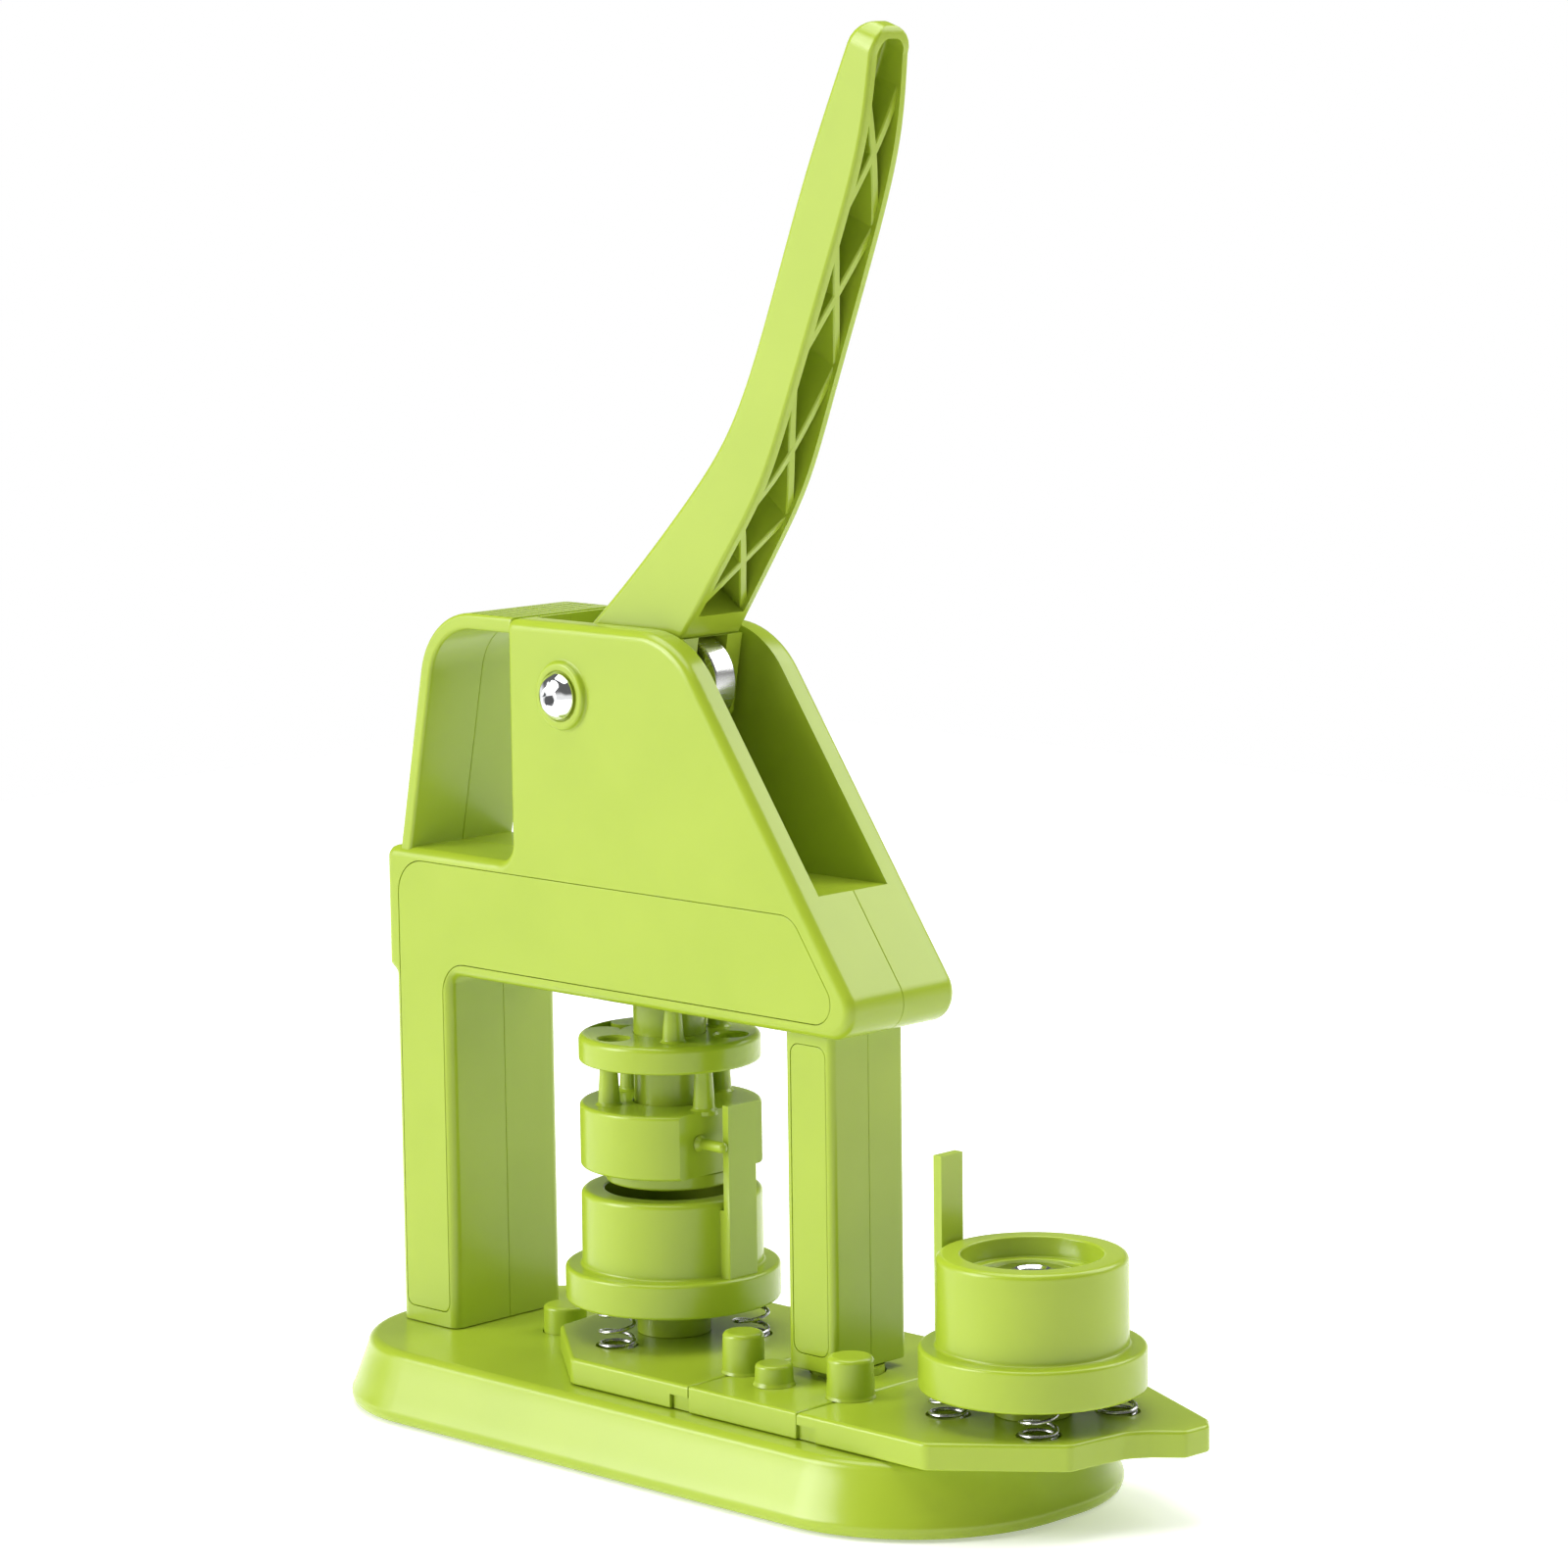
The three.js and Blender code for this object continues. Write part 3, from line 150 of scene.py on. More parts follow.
def corner_ring(corners, amount=0.0, step=5.0):
    """Corners (x, y[, radius]) as a counter-clockwise outline moved inwards by amount."""
    area = sum(p[0] * q[1] - q[0] * p[1] for p, q in zip(corners, corners[1:] + corners[:1]))
    corners = corners if area > 0 else corners[::-1]
    count = len(corners)
    places = [Vector(corner[:2]) for corner in corners]
    sides = [(places[(i + 1) % count] - places[i]).normalized() for i in range(count)]
    points = []
    for i, corner in enumerate(corners):
        e0, e1 = sides[i - 1], sides[i]
        n0, n1 = Vector((-e0.y, e0.x)), Vector((-e1.y, e1.x))
        here = places[i] + (n0 + n1) * (amount / max(0.2, 1 + n0.dot(n1)))
        radius = corner[2] if len(corner) > 2 else 0
        if not radius:
            points.append(here)
            continue
        turn = 1 if e0.x * e1.y - e0.y * e1.x > 0 else -1
        angle = e0.angle(e1)
        radius = max(radius - turn * amount, 0.04)
        start = here - e0 * (radius * math.tan(angle / 2))
        centre = start + n0 * (turn * radius)
        steps = max(2, round(math.degrees(angle) / step))
        for k in range(steps + 1):
            a = turn * angle * k / steps
            v = start - centre
            points.append(centre + Vector((v.x * math.cos(a) - v.y * math.sin(a),
                                           v.x * math.sin(a) + v.y * math.cos(a))))
    return points


def circle(radius, x=0.0, y=0.0, count=64):
    return [Vector((x + radius * math.cos(2 * PI * k / count), y + radius * math.sin(2 * PI * k / count)))
            for k in range(count)]


def polar(radius, degrees):
    angle = math.radians(degrees)
    return radius * math.cos(angle), radius * math.sin(angle)


def spline(points, t):
    """A uniform cubic B-spline that starts and ends on its 2-D points."""
    points = [Vector(p) for p in points]
    points = [2 * points[0] - points[1], *points, 2 * points[-1] - points[-2]]
    place = t * (len(points) - 3)
    i = min(int(place), len(points) - 4)
    w = place - i
    p0, p1, p2, p3 = points[i:i + 4]
    return (p0 * (1 - w) ** 3 + p1 * (3 * w ** 3 - 6 * w ** 2 + 4)
            + p2 * (-3 * w ** 3 + 3 * w ** 2 + 3 * w + 1) + p3 * w ** 3) / 6


# ------------------------------------------------------------------ solids
def to_object(bm, name="solid"):
    bmesh.ops.remove_doubles(bm, verts=bm.verts, dist=1e-4)
    bmesh.ops.recalc_face_normals(bm, faces=bm.faces)
    mesh = bpy.data.meshes.new(name)
    bm.to_mesh(mesh)
    bm.free()
    obj = bpy.data.objects.new(name, mesh)
    bpy.context.scene.collection.objects.link(obj)
    return obj


def skin(rings, closed=False):
    """Rings of 3-D points, all of one length, joined in order; open ends are capped."""
    bm = bmesh.new()
    rows = [[bm.verts.new(p) for p in ring] for ring in rings]
    pairs = list(zip(rows, rows[1:])) + ([(rows[-1], rows[0])] if closed else [])
    for low, high in pairs:
        for k in range(len(low)):
            j = (k + 1) % len(low)
            bm.faces.new((low[k], low[j], high[j], high[k]))
    if not closed:
        bm.faces.new(rows[0])
        bm.faces.new(rows[-1])
    return to_object(bm)


def edge_levels(low, high, round_low, round_high, steps=4):
    """(inset, level) pairs up the side of a slab whose two rims are rounded."""
    levels = []
    for k in range(steps + 1 if round_low else 1):
        t = PI / 2 * k / steps
        levels.append((round_low * (1 - math.sin(t)), low + round_low * (1 - math.cos(t))))
    for k in range(steps + 1 if round_high else 1):
        t = PI / 2 * k / steps
        levels.append((round_high * (1 - math.cos(t)), high - round_high * (1 - math.sin(t))))
    return levels


def slab(shape, low, high, round_low=0.0, round_high=0.0, plane="XY", shrink=0.0, step=5.0):
    """A plan (XY) or side (XZ) shape, of points or of corners, given thickness with rounded rims."""
    from_points = isinstance(shape[0], Vector)
    shape = counter_clockwise(shape) if from_points else shape
    rings = []
    for amount, level in edge_levels(low, high, round_low, round_high):
        amount += shrink
        ring = inset(shape, amount) if from_points else corner_ring(shape, amount, step)
        if plane == "XY":
            rings.append([Vector((p.x, p.y, level)) for p in ring])
        else:
            rings.append([Vector((p.x, level, p.y)) for p in ring])
    return skin(rings)


def turned(profile, x=0.0, y=0.0, z=0.0, axis="Z", count=96, closed=False, step=15.0):
    """A profile of (radius, height[, rounding]) points turned about an axis through (x, y, z)."""
    points = rounded(profile, closed=closed, step=step)
    rings = []
    for p in points:
        if p.x < 1e-6:
            continue
        ring = []
        for k in range(count):
            c, s = p.x * math.cos(2 * PI * k / count), p.x * math.sin(2 * PI * k / count)
            ring.append(Vector({"Z": (x + c, y + s, z + p.y), "Y": (x + c, y + p.y, z + s),
                                "X": (x + p.y, y + c, z + s)}[axis]))
        rings.append(ring)
    return skin(rings, closed=closed)


def rod(radius, low, high, x=0.0, y=0.0, z=0.0, axis="Z", count=64, rim=0.0):
    return turned([(0, low), (radius, low, rim), (radius, high, rim), (0, high)], x, y, z, axis, count)


def block(x0, x1, y0, y1, z0, z1, rim=0.0):
    return slab([Vector(p) for p in ((x0, y0), (x1, y0), (x1, y1), (x0, y1))], z0, z1, rim, rim)


def combine(target, operation, tools):
    for tool in tools:
        modifier = target.modifiers.new("combine", "BOOLEAN")
        modifier.operation, modifier.solver, modifier.object = operation, "EXACT", tool
        graph = bpy.context.evaluated_depsgraph_get()
        mesh = bpy.data.meshes.new_from_object(target.evaluated_get(graph))
        target.modifiers.remove(modifier)
        target.data = mesh
        bpy.data.objects.remove(tool)
    return target


def cut(target, *tools):
    return combine(target, "DIFFERENCE", tools)


def join(target, *tools):
    return combine(target, "UNION", tools)


def common(target, *tools):
    return combine(target, "INTERSECT", tools)


def mirrored(obj, x):
    """obj reflected in the plane of constant X."""
    obj.data.transform(Matrix.Translation((2 * x, 0, 0)) @ Matrix.Scale(-1, 4, (1, 0, 0)))
    obj.data.flip_normals()
    return obj


def coil(mean_radius, wire_radius, low, high, turns, x, y, ends=1.0, steps=28, sides=10):
    """A wound spring with closed ends, its wire a round tube along a helix."""
    count = round(turns * steps)
    low, high = low + wire_radius, high - wire_radius
    dead = 2.1 * wire_radius
    path = []
    for i in range(count + 1):
        t = turns * i / count
        foot = min(t, ends) / ends * dead
        head = max(t - (turns - ends), 0) / ends * dead
        middle_part = min(max((t - ends) / (turns - 2 * ends), 0), 1) * (high - low - 2 * dead)
        angle = 2 * PI * t
        path.append(Vector((x + mean_radius * math.cos(angle), y + mean_radius * math.sin(angle),
                            low + foot + middle_part + head)))
    rings = []
    for i, p in enumerate(path):
        along = (path[min(i + 1, count)] - path[max(i - 1, 0)]).normalized()
        outward = Vector((p.x - x, p.y - y, 0)).normalized()
        upward = along.cross(outward).normalized()
        rings.append([p + (outward * math.cos(2 * PI * k / sides) + upward * math.sin(2 * PI * k / sides))
                      * wire_radius for k in range(sides)])
    return skin(rings)


# ------------------------------------------------------------------ materials
def shader(name):
    material = bpy.data.materials.new(name)
    material.use_nodes = True
    tree = material.node_tree
    return material, tree, tree.nodes["Principled BSDF"]


def node(tree, kind, **values):
    made = tree.nodes.new(kind)
    for key, value in values.items():
        if key in made.inputs:
            made.inputs[key].default_value = value
        else:
            setattr(made, key, value)
    return made


def noise(tree, coords, scale, detail=3.0, rough=0.5):
    made = node(tree, "ShaderNodeTexNoise", Scale=scale, Detail=detail, Roughness=rough)
    tree.links.new(coords, made.inputs["Vector"])
    return made.outputs["Fac"]


def remap(tree, value, low, high, from_low=0.3, from_high=0.7):
    made = node(tree, "ShaderNodeMapRange", **{"From Min": from_low, "From Max": from_high,
                                               "To Min": low, "To Max": high})
    tree.links.new(value, made.inputs["Value"])
    return made.outputs["Result"]


def tint(tree, value, dark, light):
    ramp = tree.nodes.new("ShaderNodeValToRGB")
    ramp.color_ramp.elements[0].position, ramp.color_ramp.elements[1].position = 0.3, 0.7
    ramp.color_ramp.elements[0].color, ramp.color_ramp.elements[1].color = (*dark, 1), (*light, 1)
    tree.links.new(value, ramp.inputs["Fac"])
    return ramp.outputs["Color"]


def bump(tree, bsdf, heights):
    """Stacks (height output, strength, distance in metres) bumps onto the shader."""
    previous = None
    for value, strength, distance in heights:
        made = node(tree, "ShaderNodeBump", Strength=strength, Distance=distance)
        tree.links.new(value, made.inputs["Height"])
        if previous:
            tree.links.new(previous, made.inputs["Normal"])
        previous = made.outputs["Normal"]
    tree.links.new(previous, bsdf.inputs["Normal"])


def object_coords(tree):
    return tree.nodes.new("ShaderNodeTexCoord").outputs["Object"]


def moulded_plastic(name, dark, light):
    """Glossy ABS: slight flow marks in its colour, a fine mould texture and uneven gloss."""
    material, tree, bsdf = shader(name)
    coords = object_coords(tree)
    tree.links.new(tint(tree, noise(tree, coords, 38, 2), dark, light), bsdf.inputs["Base Color"])
    tree.links.new(remap(tree, noise(tree, coords, 1500, 3), 0.23, 0.27), bsdf.inputs["Roughness"])
    bump(tree, bsdf, [(noise(tree, coords, 40, 1), 0.035, 0.0004),
                      (noise(tree, coords, 2600, 2), 0.02, 0.00005)])
    bsdf.inputs["Subsurface Weight"].default_value = 0.12
    bsdf.inputs["Subsurface Radius"].default_value = (0.9, 1.0, 0.2)
    bsdf.inputs["Subsurface Scale"].default_value = 0.0016
    bsdf.inputs["IOR"].default_value = 1.5
    return material


def metal(name, dark, light, gloss, grain_scale=900.0, grain=0.06, stretch=(1, 1, 1)):
    """Metal with a fine directional grain in gloss and surface."""
    material, tree, bsdf = shader(name)
    mapping = node(tree, "ShaderNodeMapping", Scale=stretch)
    tree.links.new(object_coords(tree), mapping.inputs["Vector"])
    coords = mapping.outputs["Vector"]
    tree.links.new(tint(tree, noise(tree, coords, 120, 3), dark, light), bsdf.inputs["Base Color"])
    tree.links.new(remap(tree, noise(tree, coords, grain_scale, 4), *gloss), bsdf.inputs["Roughness"])
    bump(tree, bsdf, [(noise(tree, coords, grain_scale, 3), grain, 0.00003)])
    bsdf.inputs["Metallic"].default_value = 1.0
    return material


def rubber_material():
    """Dark grip rubber with raised dots."""
    material, tree, bsdf = shader("grip_rubber")
    coords = object_coords(tree)
    dots = node(tree, "ShaderNodeTexVoronoi", Scale=420.0, Randomness=0.0)
    tree.links.new(coords, dots.inputs["Vector"])
    shade = tint(tree, noise(tree, coords, 160, 4), (0.018, 0.018, 0.019), (0.035, 0.035, 0.036))
    tree.links.new(shade, bsdf.inputs["Base Color"])
    tree.links.new(remap(tree, noise(tree, coords, 700, 3), 0.75, 0.92), bsdf.inputs["Roughness"])
    bump(tree, bsdf, [(dots.outputs["Distance"], 0.4, 0.0006), (noise(tree, coords, 1800, 2), 0.2, 0.0001)])
    return material


def floor_material():
    material, tree, bsdf = shader("floor_paper")
    coords = object_coords(tree)
    tree.links.new(tint(tree, noise(tree, coords, 6, 2), (0.90, 0.90, 0.90), (0.92, 0.92, 0.915)),
                   bsdf.inputs["Base Color"])
    bsdf.inputs["Emission Color"].default_value = (1, 1, 1, 1)
    bsdf.inputs["Emission Strength"].default_value = 0.32
    tree.links.new(remap(tree, noise(tree, coords, 90, 2), 0.65, 0.75), bsdf.inputs["Roughness"])
    return material


GREEN = moulded_plastic("lime_plastic", (0.325, 0.435, 0.026), (0.345, 0.455, 0.030))
# A darker copy of the lime plastic: painted shade for the parts that sit inside or underneath (the ram rod,
# the base lid and the die cores).
GREEN_PAINTED_SHADE = moulded_plastic("lime_plastic_painted_shade", (0.305, 0.410, 0.022), (0.325, 0.430, 0.026))
CHROME = metal("chrome", (0.78, 0.79, 0.80), (0.86, 0.86, 0.87), (0.06, 0.14))
RACE = metal("ground_steel", (0.62, 0.62, 0.61), (0.76, 0.76, 0.75), (0.16, 0.30), 1400.0, 0.10,
             stretch=(1, 0.08, 1))
SPRING_STEEL = metal("spring_steel", (0.50, 0.50, 0.50), (0.68, 0.68, 0.68), (0.18, 0.30), 1200.0, 0.08)
ZINC = metal("zinc_steel", (0.55, 0.56, 0.57), (0.68, 0.68, 0.69), (0.28, 0.42), 700.0, 0.12)
RUBBER = rubber_material()


# ------------------------------------------------------------------ finishing a piece
SHARP_ANGLE = math.radians(33)


def soften(obj, width):
    """Rounds the sharp edges that the cuts left."""
    modifier = obj.modifiers.new("soften", "BEVEL")
    modifier.width, modifier.segments = width, 2
    modifier.limit_method, modifier.angle_limit = "ANGLE", math.radians(50)
    modifier.use_clamp_overlap = True
    modifier.miter_outer = "MITER_ARC"
    graph = bpy.context.evaluated_depsgraph_get()
    mesh = bpy.data.meshes.new_from_object(obj.evaluated_get(graph))
    obj.modifiers.remove(modifier)
    obj.data = mesh
    return obj


def piece(obj, name, body, material, stands_for, soft=0.0):
    """Rounds and names a solid, scales it to metres, paints it and hangs it on its body."""
    if soft:
        soften(obj, soft)
    obj.name = obj.data.name = name
    obj.data.transform(Matrix.Scale(MM, 4))
    bm = bmesh.new()
    bm.from_mesh(obj.data)
    for face in bm.faces:
        face.smooth = True
    for edge in bm.edges:
        edge.smooth = len(edge.link_faces) == 2 and edge.calc_face_angle(0) < SHARP_ANGLE
    bm.to_mesh(obj.data)
    bm.free()
    weighted = obj.modifiers.new("weighted", "WEIGHTED_NORMAL")
    weighted.keep_sharp = True
    obj.data.materials.clear()
    obj.data.materials.append(material)
    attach(obj, body)
    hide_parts(*stands_for)
    return obj


def screw_head(radius, height, x, y, z, axis="Z", up=1):
    """A pan head with a cross recess, its flat side at z and its dome facing up (1) or down (-1)."""
    head = turned([(0, 0), (radius, 0, 0.2), (radius, up * height * 0.55, 0.5),
                   (radius * 0.5, up * height, 1.2), (0, up * height)], x, y, z, axis, 48)
    reach = radius * 0.55
    for wide, deep in ((reach, 0.32), (0.32, reach)):
        low, high = sorted((z + up * height * 0.45, z + up * (height + 1)))
        head = cut(head, block(x - wide, x + wide, y - deep, y + deep, low, high))
    return head


# ------------------------------------------------------------------ base
def base_ring(amount, level):
    back, front = 40 - amount, 44 - amount
    x0, x1, y1 = BASE_BACK + amount, BASE_FRONT - amount, BASE_HALF - amount
    points = rounded([(x0, -y1, back), (x1, -y1, front), (x1, y1, front), (x0, y1, back)], step=3)
    return [Vector((p.x, p.y, level)) for p in points]


def make_base():
    top_round = 2.6
    levels = [(0.9, BASE_RIM), (0.35, BASE_RIM + 0.5), (0.05, BASE_RIM + 1.4), (0.0, BASE_RIM + 2.4),
              (0.15, BASE_RIM + 3.1), (0.5, BASE_RIM + 3.6)]
    side_top = BASE_TOP - top_round
    side_inset = 4.4
    rim_inset, rim_top = levels[-1]
    for k in range(1, 6):
        levels.append((rim_inset + (side_inset - rim_inset) * k / 5, rim_top + (side_top - rim_top) * k / 5))
    for k in range(1, 7):
        t = PI / 2 * k / 6
        levels.append((side_inset + top_round * (1 - math.cos(t)), side_top + top_round * math.sin(t)))
    shell = skin([base_ring(*pair) for pair in levels])
    pocket = skin([base_ring(3.9, BASE_RIM - 2), base_ring(3.9, 4.0)])
    shell = cut(shell, pocket, rod(5.9, BASE_TOP - 4, BASE_TOP + 1, *post_place()))
    seat_r = span("spindle_sleeve", X)[1] - SWIVEL_X + 3
    shell = cut(shell, rod(seat_r, BASE_TOP - 0.4, BASE_TOP + 1, SWIVEL_X, count=96))
    piece(shell, "base_casing", "frame", GREEN, ["base_shell"])

    low, high = span("base_cover", Z)
    cover = skin([base_ring(4.6, low), base_ring(4.25, low + 0.35), base_ring(4.2, high)])
    pad_x, pad_y, pad_z = span("grip_pad", X), span("grip_pad", Y), span("grip_pad", Z)
    pad_outline = [(pad_x[0], pad_y[0], 14), (pad_x[1], pad_y[0], 14), (pad_x[1], pad_y[1], 14),
                   (pad_x[0], pad_y[1], 14)]
    cover = cut(cover, slab(pad_outline, low - 2, pad_z[1] + 0.2, shrink=-0.25))
    screws = [f"cover_screw_{i}" for i in (1, 2, 3, 4)]
    for name in screws:
        x, y = middle(name, X), middle(name, Y)
        sink = [(0, low - 1), (4.6, low - 1), (3.4, low + 0.4), (3.4, 2.9), (0, 2.9)]
        cover = cut(cover, turned(sink, x, y, 0))
    piece(cover, "base_lid", "frame", GREEN_PAINTED_SHADE, ["base_cover"])
    pad = slab(pad_outline, pad_z[0], pad_z[1], 0.5, 0.1)
    piece(pad, "rubber_pad", "frame", RUBBER, ["grip_pad"])
    for name in screws:
        x, y, top = middle(name, X), middle(name, Y), span(name, Z)[1]
        screw = join(screw_head(2.9, 1.4, x, y, 2.6, up=-1), rod(1.5, 2.5, top, x, y, count=32))
        piece(screw, name + "_fine", "frame", ZINC, [name])

    x, y = post_place()
    low, high = BASE_TOP - 3, span("stop_post", Z)[1]
    post = turned([(0, low), (5.5, low), (5.5, high, 1.0), (0, high)], x, y, 0)
    piece(post, "stop_peg", "frame", GREEN, ["stop_post"])


def post_place():
    return middle("stop_post", X), middle("stop_post", Y)


# ------------------------------------------------------------------ frame
def slant(z, back=0.0):
    return SLANT_X - back + (SLOT_FLOOR - z) * SLANT_RUN


def frame_outline():
    nose = slant(BEAM_BOTTOM)
    return [
        (COLUMN_BACK, BASE_TOP - 8), (COLUMN_FRONT, BASE_TOP - 8),
        (COLUMN_FRONT, BEAM_BOTTOM, 2.5), (nose, BEAM_BOTTOM, 7.2),
        (slant(CHEEK_TOP), CHEEK_TOP, 24), (CHEEK_BACK, CHEEK_TOP, 2.6),
        (CHEEK_BACK, LEDGE_Z, 5), (BEAM_BACK, LEDGE_Z, 3.2),
        (BEAM_BACK, BEAM_BOTTOM + 0.6, 0.6), (COLUMN_BACK, BEAM_BOTTOM - 1.4, 1.0),
    ]


def strap_outline():
    foot, lean, top, low = BEAM_BACK + 4.6, 0.196, CHEEK_TOP + 0.2, LEDGE_Z - 2
    thick = 4.0
    outer_top = foot + lean * (top - low)
    inner_top = foot + thick + lean * (top - thick - low)
    return [
        (foot, low), (foot + thick, low), (inner_top, top - thick, 15), (CHEEK_BACK + 1.5, top - thick),
        (CHEEK_BACK + 1.5, top), (outer_top, top, 19),
    ]


def panel_outline():
    column, back = 2.4, 5.6
    low, high = BEAM_BOTTOM + 3.4, LEDGE_Z - 3
    foot = BASE_TOP + 4.2
    return [
        (COLUMN_BACK + column, foot, 2.4), (COLUMN_FRONT - column, foot, 2.4),
        (COLUMN_FRONT - column, low, 8), (slant(low, back), low, 5.4),
        (slant(high, back), high, 7), (COLUMN_BACK + column, high, 9),
    ]


GRIP_GROOVES = 9
GROOVE_PITCH = 3.1


def make_frame_half(side):
    outer, inner = side * FRAME_HALF, side * HALF_GAP
    low, high = sorted((outer, inner))
    rims = (2.6, 0.22) if side < 0 else (0.22, 2.6)
    strap_rims = (1.0, 0.22) if side < 0 else (0.22, 1.0)
    body = slab(frame_outline(), low, high, *rims, plane="XZ")
    low, high = sorted((side * (FRAME_HALF - 0.9), inner))
    strap = slab(strap_outline(), low, high, *strap_rims, plane="XZ")
    slot_back = CHEEK_BACK + 4
    room = slab([(slot_back, SLOT_FLOOR, 1.2), (130, SLOT_FLOOR), (130, 230), (slot_back, 230)],
                -SLOT_HALF, SLOT_HALF, plane="XZ")
    grooves = []
    for i in range(GRIP_GROOVES):
        x = -60 + i * GROOVE_PITCH
        reach = FRAME_HALF - 1.6
        grooves.append(block(x, x + 1.2, -reach, reach, CHEEK_TOP - 0.7, CHEEK_TOP + 3))
    face = side * (FRAME_HALF - 1.45)
    pocket = slab(panel_outline(), *sorted((face, side * 30)), plane="XZ", shrink=-0.16)
    boss_profile = [(0, -1), (9.6, -1), (9.6, -0.1), (8.5, 0.1, 0.6), (8.2, 1.45, 0.8), (6.4, 1.45, 0.3),
                    (6.1, 1.1), (0, 1.1)]
    boss = turned([(r, side * (FRAME_HALF + out), *rim) for r, out, *rim in boss_profile],
                  PIVOT_X, 0, PIVOT_Z, "Y", 96)
    body = join(body, strap)
    body = cut(body, room, pocket, block(-120, 0, -60, 60, 0, BASE_TOP + 0.3), *grooves)
    body = join(body, boss)
    body = cut(body, rod(SHAFT_R + 0.35, BEAM_BOTTOM - 5, SLOT_FLOOR + 5),
               rod(11.4, SPRING_SEAT, SLOT_FLOOR + 5), rod(4.3, -60, 60, PIVOT_X, 0, PIVOT_Z, "Y"))
    for x, y in guide_places():
        body = cut(body, rod(2.5, BEAM_BOTTOM - 4, SPRING_SEAT + 10, x, y, count=32))
    name = "near" if side < 0 else "far"
    piece(body, f"casing_{name}", "frame", GREEN, [f"frame_{name}_half"], soft=0.28)
    low, high = sorted((outer, side * (FRAME_HALF - 1.4)))
    rims = (0.25, 0) if side < 0 else (0, 0.25)
    panel = slab(panel_outline(), low, high, *rims, plane="XZ")
    piece(panel, f"trim_panel_{name}", "frame", GREEN, [f"side_panel_{name}"])


def make_front_column(side):
    x0, x1 = SWIVEL_X - COLUMN_HALF, SWIVEL_X + COLUMN_HALF
    inner, outer = side * HALF_GAP, side * COLUMN_DEPTH
    body = slab([(x0, inner, 0.2), (x1, inner, 0.2), (x1, outer, 1.8), (x0, outer, 1.8)],
                COLUMN_FOOT, COLUMN_TOP, 0.35, 0.2, step=12)
    edge, foot, head = 2.1, 4.0, 3.2
    outline = [(x0 + edge, COLUMN_FOOT + foot, 2.6), (x1 - edge, COLUMN_FOOT + foot, 2.6),
               (x1 - edge, COLUMN_TOP - head, 2.6), (x0 + edge, COLUMN_TOP - head, 2.6)]
    face = side * (COLUMN_DEPTH - 1.45)
    body = cut(body, slab(outline, *sorted((face, side * 20)), plane="XZ", shrink=-0.14),
               rod(3.9, 0, 200, SWIVEL_X, 0))
    name = "near" if side < 0 else "far"
    piece(body, f"column_{name}", "frame", GREEN, [f"front_column_{name}_half"])
    low, high = sorted((side * COLUMN_DEPTH, side * (COLUMN_DEPTH - 1.4)))
    rims = (0.25, 0) if side < 0 else (0, 0.25)
    piece(slab(outline, low, high, *rims, plane="XZ"), f"column_trim_{name}", "frame", GREEN,
          [f"column_panel_{name}"])


def make_pivot():
    face = -(FRAME_HALF + 1.5)
    pivot = (PIVOT_X, 0, PIVOT_Z, "Y")
    bolt = turned([(0, face - 3.1), (2.6, face - 3.05, 0.6), (4.6, face - 2.2, 2.2), (5.75, face - 0.7, 0.8),
                   (5.8, face - 0.25), (4.0, face - 0.25), (4.0, FRAME_HALF + 5.6, 0.6),
                   (0, FRAME_HALF + 5.6)], *pivot, 96)
    socket = turned([(0, face - 5), (2.3, face - 5), (2.3, face - 1.3), (0, face - 0.6)], *pivot, 6)
    mouth = turned([(0, face - 4.2), (3.1, face - 4.2), (2.1, face - 2.95), (0, face - 2.95)], *pivot, 48)
    bolt = cut(bolt, socket, mouth)
    piece(bolt, "hex_bolt", "frame", CHROME, ["pivot_bolt"], soft=0.12)
    low, high = span("pivot_nut", Y)
    nut = slab(circle(7.0, PIVOT_X, PIVOT_Z, 6), low, high, plane="XZ")
    crown = turned([(0, low - 1), (6.2, low - 1), (6.2, low), (7.3, low + 0.65), (7.3, high - 0.65),
                    (6.2, high), (6.2, high + 1), (0, high + 1)], *pivot, 64)
    nut = cut(common(nut, crown), rod(4.05, low - 2, high + 2, *pivot))
    piece(nut, "hex_nut", "frame", CHROME, ["pivot_nut"], soft=0.1)


# ------------------------------------------------------------------ lever and roller
# control points (x, z) of its two edges, and of its half width against the share of its length
LEVER_BACK = [(-16, 200.6), (-1, 214.2), (19.7, 235.3), (30.8, 249), (39, 266), (47.5, 288.5),
              (55.4, 309.7), (62, 325.5), (69.2, 341.6)]
LEVER_FRONT = [(8, 188), (17.4, 201.2), (34, 224.4), (43.4, 238.2), (51.8, 259.5), (61.4, 283),
               (70, 304.5), (75.6, 321.5), (77.6, 338.6)]
LEVER_HALF = [(0, 10.6), (0.13, 10), (0.3, 8.9), (0.5, 8.2), (0.7, 7.9), (0.9, 7.3), (1, 6.6)]
CELLS = (0.14, 0.29, 0.53, 0.715, 0.945)      # where the crossed ribs meet, as shares of its length
CHANNEL = CELLS[0]
LEVER_WALL = 2.3


def lever_half(t):
    return spline(LEVER_HALF, t).y


def lever_ring(t, back=0.0, front=0.0, side=0.0, rim=2.0, shift=0.0):
    """The lever's section at t, drawn in from its edges and sides and moved on along its end."""
    rear, fore = spline(LEVER_BACK, t), spline(LEVER_FRONT, t)
    depth = fore - rear
    length = depth.length
    depth.normalize()
    half = lever_half(t) - side
    end = length - front
    corners = [(back, -half, rim), (end, -half, rim * 0.5), (end, half, rim * 0.5), (back, half, rim)]
    along = (spline(LEVER_BACK, 1) - spline(LEVER_BACK, 0.96)).normalized() * shift
    return [Vector((rear.x + depth.x * p.x + along.x, p.y, rear.y + depth.y * p.x + along.y))
            for p in rounded(corners, step=15)]


